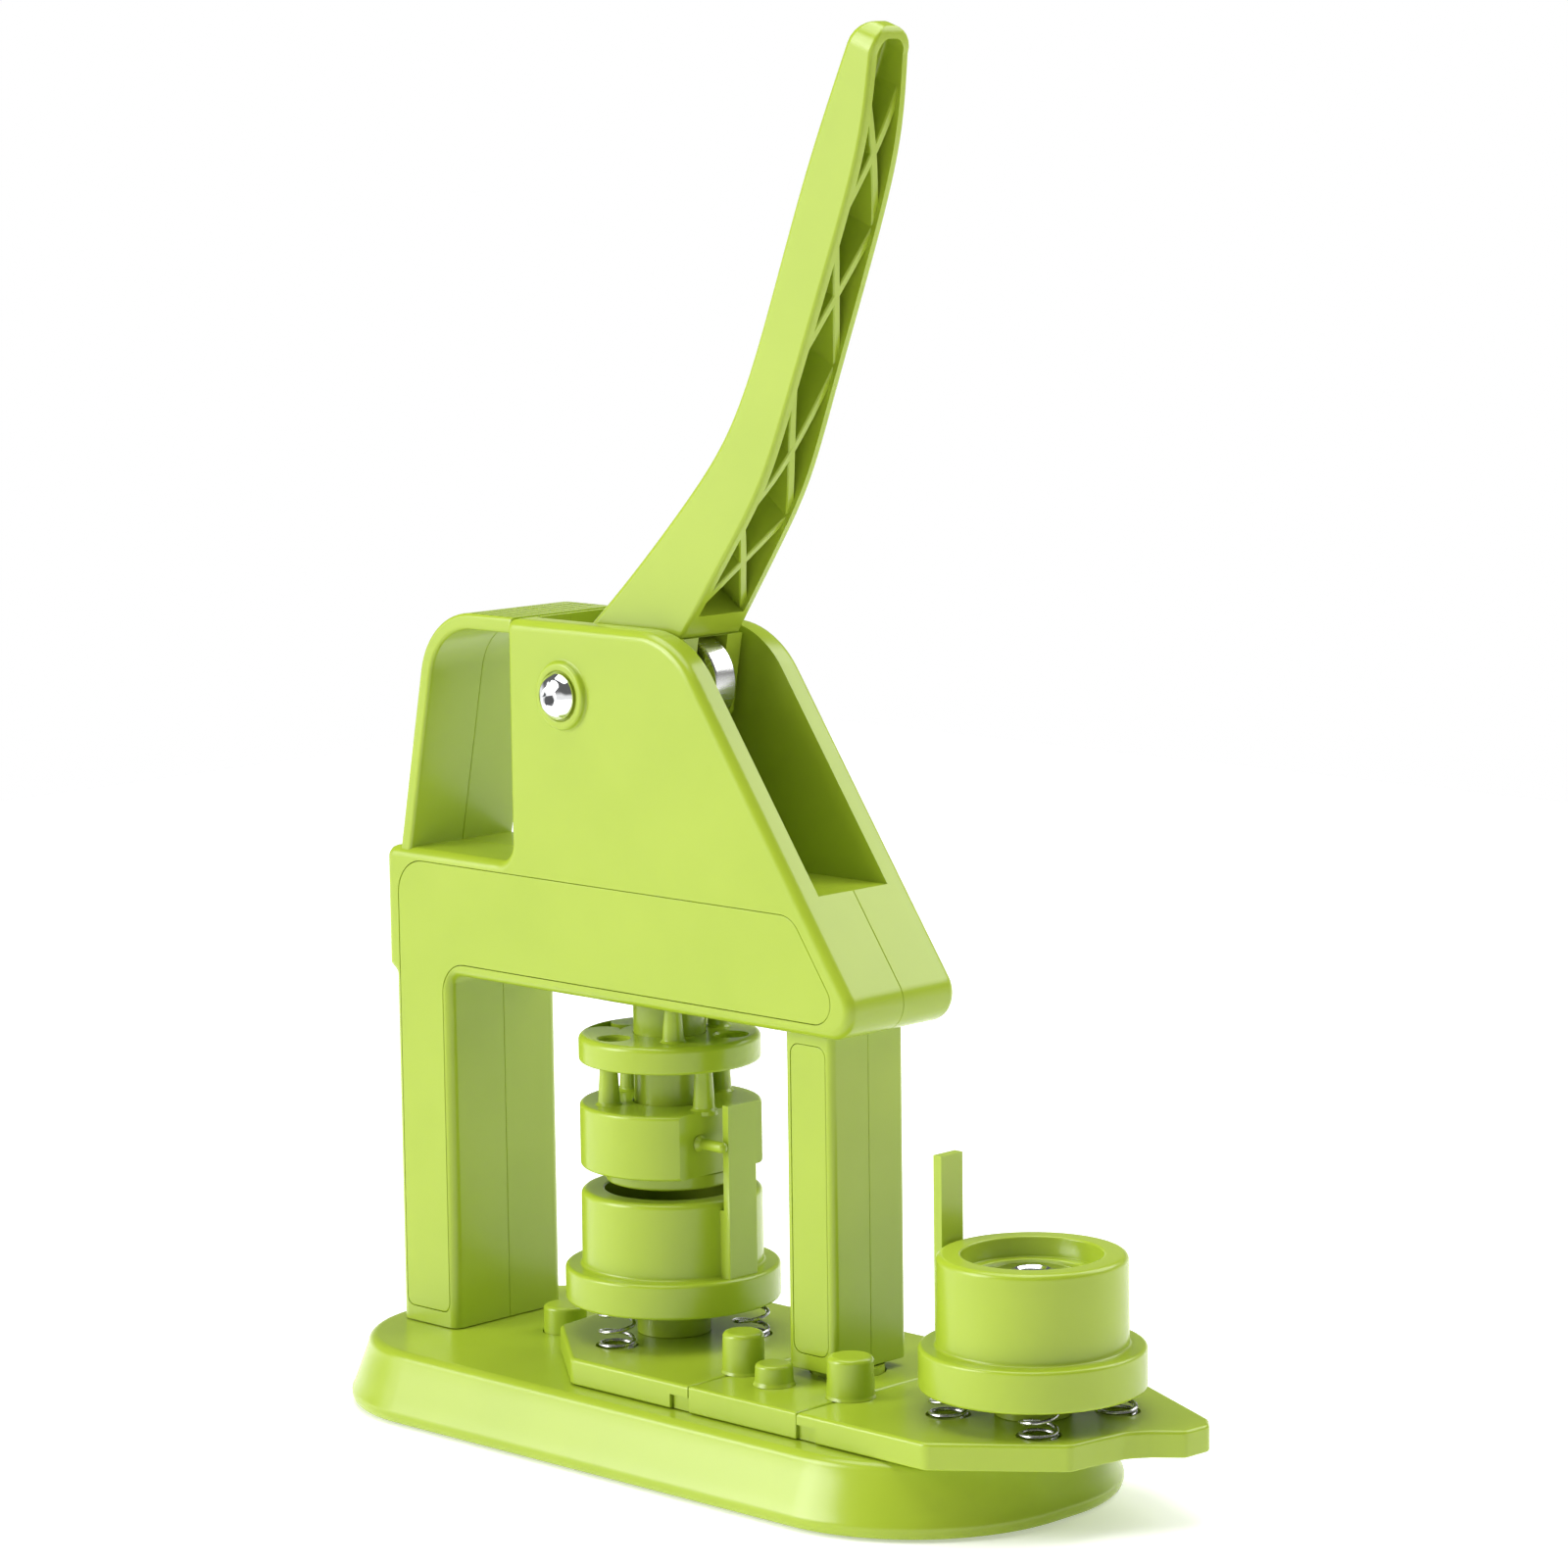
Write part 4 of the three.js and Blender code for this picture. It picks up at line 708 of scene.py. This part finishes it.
def lever_sweep(t0, t1, steps, **sizes):
    return [lever_ring(t0 + (t1 - t0) * i / steps, **sizes) for i in range(steps + 1)]


def lever_web(t0, t1, side, steps=14, thick=2.1):
    """One rib of a crossed pair: a sheet from wall to wall across a cell of the channel."""
    def centre(u):
        t = t0 + (t1 - t0) * u
        reach = lever_half(t) - 1.1
        rear, fore = spline(LEVER_BACK, t), spline(LEVER_FRONT, t)
        return t, Vector(((rear.x + fore.x) / 2, side * reach * (2 * u - 1), (rear.y + fore.y) / 2))

    rings = []
    for i in range(steps + 1):
        u = i / steps
        t, here = centre(u)
        along = (centre(min(u + 0.02, 1))[1] - centre(max(u - 0.02, 0))[1]).normalized()
        rear, fore = spline(LEVER_BACK, t), spline(LEVER_FRONT, t)
        depth = Vector((fore.x - rear.x, 0, fore.y - rear.y))
        length = depth.length
        depth.normalize()
        across = depth.cross(along).normalized() * (thick / 2)
        start, stop = depth * (1.6 - length / 2), depth * (length / 2 - 1.2)
        soft = depth * 0.35
        rings.append([here + start - across, here + stop - soft - across, here + stop - across * 0.75,
                      here + stop + across * 0.75, here + stop - soft + across, here + start + across])
    return skin(rings)


def lever_tip(height, back, front, side, rim, falls):
    """Rings that round the lever's end over; falls are how far back, front and sides draw in."""
    rings = []
    for degrees in (15, 30, 45, 58, 70, 80, 86):
        angle = math.radians(degrees)
        fall = 1 - math.cos(angle)
        rings.append(lever_ring(1, back=back + falls[0] * fall, front=front + falls[1] * fall,
                                side=side + falls[2] * fall, rim=rim * (1 - 0.7 * fall),
                                shift=height * math.sin(angle)))
    return rings


def make_lever():
    rings = lever_sweep(0, 1, 60)
    rings += lever_tip(6.3, 0, 0, 0, 2.0, (3.6, 2.8, 5.4))
    foot = slab([
        (-24.4, 192.9, 4), (-27, 184.2, 4), (-24, 176.8, 4), (-16.5, 173.7, 6), (-8.5, 178.4, 4),
        (13.6, 178.6, 2.5), (17.3, 199.6), (-16, 200.8)], -10.5, 10.5, 0.8, 0.8, plane="XZ")
    body = join(skin(rings), foot)
    back_wall, past_front, rim = LEVER_WALL + 0.5, -6, 0.8
    channel = lever_sweep(CHANNEL, 1, 50, back=back_wall, front=past_front, side=LEVER_WALL, rim=rim)
    channel += lever_tip(3.7, back_wall, past_front, LEVER_WALL, rim, (1.4, 0, 3.2))
    body = cut(body, skin(channel))
    webs = [lever_web(t0, t1, side) for t0, t1 in zip(CELLS, CELLS[1:]) for side in (-1, 1)]
    body = join(body, *webs)
    slot_half = ROLLER_HALF + 1.5
    fork = block(-3.2, 40, -slot_half, slot_half, 160, ROLLER_Z + ROLLER_R + 0.4)
    body = cut(body, fork)
    for side in (-1, 1):
        y0, y1 = sorted((side * (ROLLER_HALF + 0.3), side * (slot_half + 1)))
        body = join(body, rod(5.2, y0, y1, ROLLER_X, 0, ROLLER_Z, "Y", 48))
    body = cut(body, rod(4.35, -30, 30, PIVOT_X, 0, PIVOT_Z, "Y"),
               rod(3.1, -30, 30, ROLLER_X, 0, ROLLER_Z, "Y"))
    piece(body, "lever_arm", "lever", GREEN, ["lever"], soft=0.22)


def race(inner, outer, lip):
    half = ROLLER_HALF
    return turned([(inner, -half, 0.25), (outer, -half, lip), (outer, half, lip), (inner, half, 0.25)],
                  ROLLER_X, 0, ROLLER_Z, "Y", 128, closed=True)


def make_roller():
    piece(race(8.75, ROLLER_R, 0.6), "roller_outer", "roller", RACE, ["bearing_outer_race"])
    piece(race(3.25, 5.6, 0.3), "roller_inner", "lever", RACE, ["bearing_inner_race"])
    shield = turned([(5.85, -2.7), (6.3, -2.9), (8.2, -2.9), (8.6, -2.5), (8.6, 2.5), (8.2, 2.9), (6.3, 2.9),
                     (5.85, 2.7)], ROLLER_X, 0, ROLLER_Z, "Y", 96, closed=True)
    piece(shield, "roller_shield", "roller", ZINC, ["bearing_ball_cage"])
    low, high = span("roller_pin", Y)
    axle = rod(3.0, low, high, ROLLER_X, 0, ROLLER_Z, "Y", 48, rim=0.5)
    piece(axle, "roller_axle", "lever", ZINC, ["roller_pin"])


# ------------------------------------------------------------------ ram and collar
def guide_places():
    return [polar(13.85, -41), polar(13.85, 74)]


COLLAR_POSTS = (-116, -14, 84, 174)
COLLAR_TURN = 40


def make_ram():
    flange = RAM_TOP - 5.05
    shaft = turned([
        (0, 80.6), (SHAFT_R, 80.6), (SHAFT_R, flange - 4), (11.1, flange - 4, 0.4), (11.1, flange, 0.8),
        (6.3, flange, 0.6), (6.2, RAM_TOP - 1.2), (5.0, RAM_TOP, 0.6), (0, RAM_TOP)])
    piece(shaft, "ram_rod", "ram", GREEN_PAINTED_SHADE, ["ram_shaft"])
    disc = turned([(SHAFT_R + 0.1, DISC_BOTTOM, 0.1), (DISC_R, DISC_BOTTOM, 0.9), (DISC_R, DISC_TOP, 1.5),
                   (SHAFT_R + 0.1, DISC_TOP, 0.1)], count=160, closed=True)

    def passage(radius, degrees):
        x, y = polar(POST_CIRCLE, degrees)
        mouth = radius + 0.5
        return turned([(0, DISC_BOTTOM - 1), (mouth, DISC_BOTTOM - 1), (mouth, DISC_BOTTOM),
                       (radius, DISC_BOTTOM + 0.5), (radius, DISC_TOP - 0.5), (mouth, DISC_TOP),
                       (mouth, DISC_TOP + 1), (0, DISC_TOP + 1)], x, y, 0, "Z", 48)

    disc = cut(disc, passage(3.8, COLLAR_POSTS[0] + 12), passage(4.1, COLLAR_POSTS[1] + COLLAR_TURN),
               passage(4.1, COLLAR_POSTS[2] + COLLAR_TURN), kidney_tool())
    for x, y in guide_places():
        pin = turned([(0, DISC_TOP - 1), (3.3, DISC_TOP - 1), (3.3, DISC_TOP), (2.75, DISC_TOP + 0.5, 0.5),
                      (1.95, BEAM_BOTTOM), (1.8, GUIDE_TOP - 0.9), (1.2, GUIDE_TOP, 0.3), (0, GUIDE_TOP)],
                     x, y, 0, "Z", 40)
        disc = join(disc, pin)
    piece(disc, "index_disc", "ram", GREEN, ["selector_disc"])
    hollow = 14.15
    punch = turned([
        (0, 74.4), (hollow, 74.4, 0.5), (hollow, PUNCH_BOTTOM, 0.4), (PUNCH_R, PUNCH_BOTTOM, 0.7),
        (PUNCH_R, COLLAR_BOTTOM - 0.35, 0.3), (15.2, COLLAR_BOTTOM - 0.35), (15.2, 79), (6, 79),
        (6, 80.3), (0, 80.3)], count=128)
    piece(punch, "punch_cup", "ram", GREEN, ["punch"])
    high = span("return_spring", Z)[1]
    spring = coil(10.35, 0.7, SPRING_SEAT + 0.3, high, 8.5, 0, 0)
    spring = piece(spring, "ram_spring", "frame", SPRING_STEEL, ["return_spring"])
    squash_to(spring)


def kidney_tool():
    """The kidney-shaped passage through the disc, as an arc-shaped slab with round ends."""
    radius, ring, first, last = 4.2, 16.8, -186, -146
    sweep = [first + (last - first) * k / 24 for k in range(25)]
    half_turn = [180 * k / 12 for k in range(1, 12)]
    outline = [Vector(polar(ring - radius, a)) for a in sweep]
    outline += [Vector(polar(ring, last)) + Vector(polar(radius, last - 180 + a)) for a in half_turn]
    outline += [Vector(polar(ring + radius, a)) for a in reversed(sweep)]
    outline += [Vector(polar(ring, first)) + Vector(polar(radius, first + a)) for a in half_turn]
    return slab(outline, DISC_BOTTOM - 1, DISC_TOP + 1)


def squash_to(obj):
    """Gives the spring a mesh of its own."""
    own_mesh(obj)


def make_collar():
    facet, pin_y, pin_z = 17.4, middle("collar_pin", Y), middle("collar_pin", Z)
    cup = turned([
        (SHAFT_R + 0.35, COLLAR_TOP - 3.7), (15.55, COLLAR_TOP - 3.7), (15.55, COLLAR_BOTTOM, 0.3),
        (COLLAR_R, COLLAR_BOTTOM, 0.9), (COLLAR_R, COLLAR_TOP, 1.0), (SHAFT_R + 0.35, COLLAR_TOP, 0.3)],
        count=160, closed=True)
    cup = cut(cup, block(facet, 60, -40, 40, 40, 120))
    lower = slab([(-11.5, 40), (30, 40), (30, COLLAR_TOP - 5.5), (-11.5, COLLAR_TOP - 5.5, 1.0)], 0, 20)
    lower.data.transform(Matrix(((0, 0, 1, facet - 0.45), (1, 0, 0, 0), (0, 1, 0, 0), (0, 0, 0, 1))))
    cup = cut(cup, lower)
    for angle in COLLAR_POSTS:
        x, y = polar(POST_CIRCLE, angle)
        post = turned([(0, COLLAR_TOP - 1), (3.4, COLLAR_TOP - 1), (3.4, COLLAR_TOP),
                       (2.75, COLLAR_TOP + 0.6, 0.5), (2.15, DISC_BOTTOM - 0.35, 0.3),
                       (0, DISC_BOTTOM - 0.35)], x, y, 0, "Z", 40)
        cup = join(cup, post)
    piece(cup, "turn_collar", "collar", GREEN, ["collar"], soft=0.3)
    tip = span("collar_pin", X)[1] - 0.02
    pin = turned([(0, facet - 1.4), (0.8, facet - 1.4), (0.8, facet - 0.2), (2.1, facet - 0.2),
                  (1.75, facet + 0.35, 0.4), (1.35, facet + 0.9, 0.4), (1.35, tip, 1.2), (0, tip)],
                 0, pin_y, pin_z, "X", 48)
    piece(pin, "collar_finger", "collar", GREEN, ["collar_pin"])


# ------------------------------------------------------------------ swivelling plate
SEAM = 17.85                     # from the swivel to where the centre meets a side plate
PEG_R = 2.9
PEG_X, PEG_Y = 17.75, -17.8      # a peg's place, from the swivel


def side_plate_outline():
    corners = [
        (SEAM + 0.22, -PLATE_HALF), (SEAM + 0.22, PLATE_HALF), (64, PLATE_HALF, 6), (93.5, 23, 3),
        (97, 19, 3), (96.6, 11, 2), (90.5, 6, 3), (87, 1.5, 8), (85.4, -8, 10), (84.6, -15.5, 3),
        (58.5, -PLATE_HALF, 4)]
    return [(SWIVEL_X - out, *rest) for out, *rest in corners]


def make_side_plate(letter, springs):
    lap_top = PLATE_BOTTOM + 3.6
    plate = slab(side_plate_outline(), PLATE_BOTTOM, PLATE_TOP, 0.5, 1.0)
    plate = cut(plate, block(SWIVEL_X - SEAM - 6.3, SWIVEL_X, -PLATE_HALF - 1, PLATE_HALF + 1, 0, lap_top),
                rod(PEG_R, 0, 60, SWIVEL_X - PEG_X, PEG_Y, count=40),
                rod(7.9, PLATE_BOTTOM + 0.5, 60), rod(1.8, 0, 60), rod(3.3, 0, PLATE_BOTTOM + 1))
    if letter == "a":
        plate = mirrored(plate, SWIVEL_X)
    for x, y in springs:
        plate = cut(plate, rod(5.35, PLATE_TOP - 0.9, PLATE_TOP + 2, x, y, count=56))
    piece(plate, f"side_plate_{letter}", "die_plate", GREEN, [f"die_plate_{letter}"],
          soft=0.25)


def make_swivel(spring_places):
    x0, x1 = SWIVEL_X - SEAM, SWIVEL_X + SEAM
    corners = [(x0, -PLATE_HALF, 0.3), (x1, -PLATE_HALF, 0.3), (x1, PLATE_HALF, 0.3), (x0, PLATE_HALF, 0.3)]
    centre = slab(corners, PLATE_BOTTOM, PLATE_TOP, 0.4, 0.7)
    tongue = block(x0 - 6, x1 + 6, -PLATE_HALF + 1, PLATE_HALF - 1, PLATE_BOTTOM, PLATE_BOTTOM + 3.3)
    index_x = middle("index_knob", X)
    centre = cut(join(centre, tongue), rod(9.35, 0, 60, SWIVEL_X, 0),
                 rod(PEG_R, 0, 60, SWIVEL_X - PEG_X, PEG_Y, count=40),
                 rod(PEG_R, 0, 60, SWIVEL_X + PEG_X, PEG_Y, count=40),
                 rod(PEG_R, 0, 60, index_x, -21.4, count=40))
    piece(centre, "centre_plate", "die_plate", GREEN, ["swivel_centre"])
    for letter in ("b", "a"):
        make_side_plate(letter, spring_places[letter])
    for name, radius, flare, round_top in (("peg_left", 5.1, 0.4, 1.3), ("peg_right", 5.65, 0.4, 1.3),
                                           ("index_knob", 4.6, 0.6, 1.0)):
        x, y = middle(name, X), middle(name, Y)
        top, low = span(name, Z)[1], PLATE_TOP + 0.06
        peg = turned([(0, PLATE_BOTTOM + 0.6), (2.6, PLATE_BOTTOM + 0.6), (2.6, low), (radius + flare, low),
                      (radius + 0.1, low + flare + 0.3, 0.5), (radius - 0.1, top, round_top), (0, top)],
                     x, y, 0, "Z", 96)
        piece(peg, name + "_fine", "die_plate", GREEN, [name])


# ------------------------------------------------------------------ dies
BORE_R, RING_R, FLANGE_R, HUB_R, DIE_FLOOR = 16.7, 22.5, 26.8, 9.2, 43.6
BAR_INNER = 23.3


def make_die(letter, die_x, top, flange_low, flange_high, head_r, head_top, bar_side, bar_outer, bar_y,
             bar_top, spring_top, springs, ledge=None):
    """A die: its sprung ring with an upright bar, the post it slides on, and its springs."""
    floor_r = 14.15
    steps = [(BORE_R, DIE_FLOOR)]
    if ledge:
        steps = [(BORE_R, ledge, 0.2), (floor_r, ledge, 0.3), (floor_r, DIE_FLOOR)]
    ring = turned([
        (HUB_R + 0.35, flange_low), (FLANGE_R, flange_low, 0.8), (FLANGE_R, flange_high, 1.0),
        (RING_R + 0.1, flange_high, 0.7), (RING_R, top, 1.5), (BORE_R, top, 0.5), *steps,
        (HUB_R + 0.35, DIE_FLOOR)], die_x, 0, 0, count=160, closed=True)
    root_x, root_low, root_high = BORE_R + 3, flange_high - 1, top - 2.2
    blade = [(root_x, root_low), (bar_outer, root_low), (bar_outer, bar_top), (BAR_INNER, bar_top),
             (BAR_INNER, root_high), (root_x, root_high)]
    ring = join(ring, slab([(die_x + bar_side * x, z) for x, z in blade], *bar_y, plane="XZ"))
    for x, y in springs:
        ring = cut(ring, rod(5.2, flange_low - 1, spring_top + 0.3, x, y, count=48))
    piece(ring, f"sprung_ring_{letter}", f"ring_{letter}", GREEN, [f"die_ring_{letter}"],
          soft=0.3)
    hub_low = PLATE_TOP + 0.1
    post = turned([
        (0, PLATE_BOTTOM + 0.8), (7.6, PLATE_BOTTOM + 0.8), (7.6, hub_low), (HUB_R, hub_low, 0.1),
        (HUB_R, DIE_FLOOR + 0.3), (head_r, DIE_FLOOR + 0.3, 0.2), (head_r, head_top, 0.7), (0, head_top)],
        die_x, 0, 0, count=96)
    piece(post, f"die_core_{letter}", "die_plate", GREEN_PAINTED_SHADE, [f"die_post_{letter}"])
    low = PLATE_TOP - 0.85
    for i, (x, y) in enumerate(springs, 1):
        spring = piece(coil(4.2, 0.5, low, spring_top, 5.4, x, y, steps=26), f"ring_spring_{letter}_{i}",
                       "die_plate", SPRING_STEEL, [f"die_{letter}_spring_{i}"])
        squash_to(spring)


def make_cap():
    low, high = span("die_cap_a", Z)
    cap = turned([(0, low), (13.7, low), (13.7, high - 1.0, 0.2), (12.6, high - 0.3, 1.0),
                  (8.5, high + 0.8, 6), (4.2, high + 1.3, 0.4), (3.4, high + 0.6, 0.3), (1.5, high, 0.3),
                  (0, high - 0.2)], DIE_A_X, 0, 0, count=128)
    piece(cap, "chrome_cap", "die_plate", CHROME, ["die_cap_a"])


def make_dies():
    circle_r = 19.8
    places = {
        "b": [polar(circle_r, a) for a in (-90, 30, 150)],
        "a": [tuple(map(sum, zip(polar(circle_r, a), (DIE_A_X, 0)))) for a in (-135, -45, 45, 135)],
    }
    make_swivel(places)
    make_die("b", 0.0, top=61.2, flange_low=33.3, flange_high=42.1, head_r=16.2, head_top=48.4,
             bar_side=1, bar_outer=25.2, bar_y=(-5.3, 4.2), bar_top=85.3, spring_top=40.9,
             springs=places["b"])
    make_die("a", DIE_A_X, top=62.6, flange_low=30.9, flange_high=41.0, head_r=13.8, head_top=52.2,
             bar_side=-1, bar_outer=25.8, bar_y=(-5.6, 1.9), bar_top=83.0, spring_top=39.8,
             springs=places["a"], ledge=57.7)
    make_cap()


# ------------------------------------------------------------------ carried-over nodes
def paint_nodes():
    """The CAD nodes that stay visible are screws and the spindle: steel, with a plastic sleeve."""
    for name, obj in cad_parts.items():
        if obj.hide_render:
            continue
        obj.data.materials.clear()
        obj.data.materials.append(GREEN if name == "spindle_sleeve" else ZINC)


# ------------------------------------------------------------------ stage
def make_camera():
    azimuth, pitch, roll = math.radians(44.162), math.radians(8.204), math.radians(-0.745)
    back = Vector((math.sin(azimuth) * math.cos(pitch), -math.cos(azimuth) * math.cos(pitch),
                   math.sin(pitch)))
    forward = -back
    right = forward.cross(Vector((0, 0, 1))).normalized()
    down = forward.cross(right)
    c, s = math.cos(roll), math.sin(roll)
    right, down = right * c - down * s, right * s + down * c
    data = bpy.data.cameras.new("camera")
    data.lens, data.sensor_width = 118.62, 36.0
    data.clip_start, data.clip_end = 0.05, 20.0
    camera = bpy.data.objects.new("camera", data)
    place = Vector((0.89546, -0.88032, 0.34240))
    turn = Matrix((right, -down, back)).transposed().to_4x4()
    camera.matrix_world = Matrix.Translation(place) @ turn
    bpy.context.scene.collection.objects.link(camera)
    bpy.context.scene.camera = camera


def area_light(name, place, target, size, power, colour=(1, 1, 1)):
    data = bpy.data.lights.new(name, "AREA")
    data.shape, data.size, data.size_y = "RECTANGLE", size[0], size[1]
    data.energy, data.color = power, colour
    light = bpy.data.objects.new(name, data)
    direction = Vector(target) - Vector(place)
    light.matrix_world = Matrix.Translation(place) @ direction.to_track_quat("-Z", "Y").to_matrix().to_4x4()
    bpy.context.scene.collection.objects.link(light)


def make_stage():
    bm = bmesh.new()
    reach = 1.0
    corners = ((-reach, -reach), (reach, -reach), (reach, reach), (-reach, reach))
    bm.faces.new([bm.verts.new((x, y, 0)) for x, y in corners])
    floor = to_object(bm, "floor")
    floor.data.materials.append(floor_material())
    make_sky()
    sun = bpy.data.lights.new("soft_key", "SUN")
    sun.energy, sun.angle = 2.0, math.radians(35)
    lamp = bpy.data.objects.new("soft_key", sun)
    lamp.matrix_world = Vector((-0.60, -1.0, 0.55)).to_track_quat("Z", "Y").to_matrix().to_4x4()
    bpy.context.scene.collection.objects.link(lamp)
    area_light("strip", (-1.35, -1.4, 0.5), (0.02, 0, 0.17), (1.3, 1.1), 9)
    area_light("overhead", (-0.1, 0.0, 1.6), (0.02, 0, 0.1), (1.4, 1.4), 24)
    area_light("back_top", (0.5, 1.0, 1.1), (0.05, 0, 0.15), (1.1, 1.0), 13)


def make_sky():
    """A white horizon under a dimmer dome: white surroundings and soft light."""
    world = bpy.data.worlds.new("studio")
    world.use_nodes = True
    tree = world.node_tree
    parts = tree.nodes.new("ShaderNodeSeparateXYZ")
    tree.links.new(tree.nodes.new("ShaderNodeTexCoord").outputs["Generated"], parts.inputs["Vector"])
    level = remap(tree, parts.outputs["Z"], 1.0, 0.14, 0.04, 0.22)
    tree.nodes["Background"].inputs["Color"].default_value = (1, 1, 1, 1)
    tree.links.new(level, tree.nodes["Background"].inputs["Strength"])
    bpy.context.scene.world = world


# ------------------------------------------------------------------ build
bpy.context.scene.view_settings.view_transform = "Standard"
make_camera()
make_stage()
make_base()
for half in (-1, 1):
    make_frame_half(half)
    make_front_column(half)
make_pivot()
make_lever()
make_roller()
make_ram()
make_collar()
make_dies()
paint_nodes()
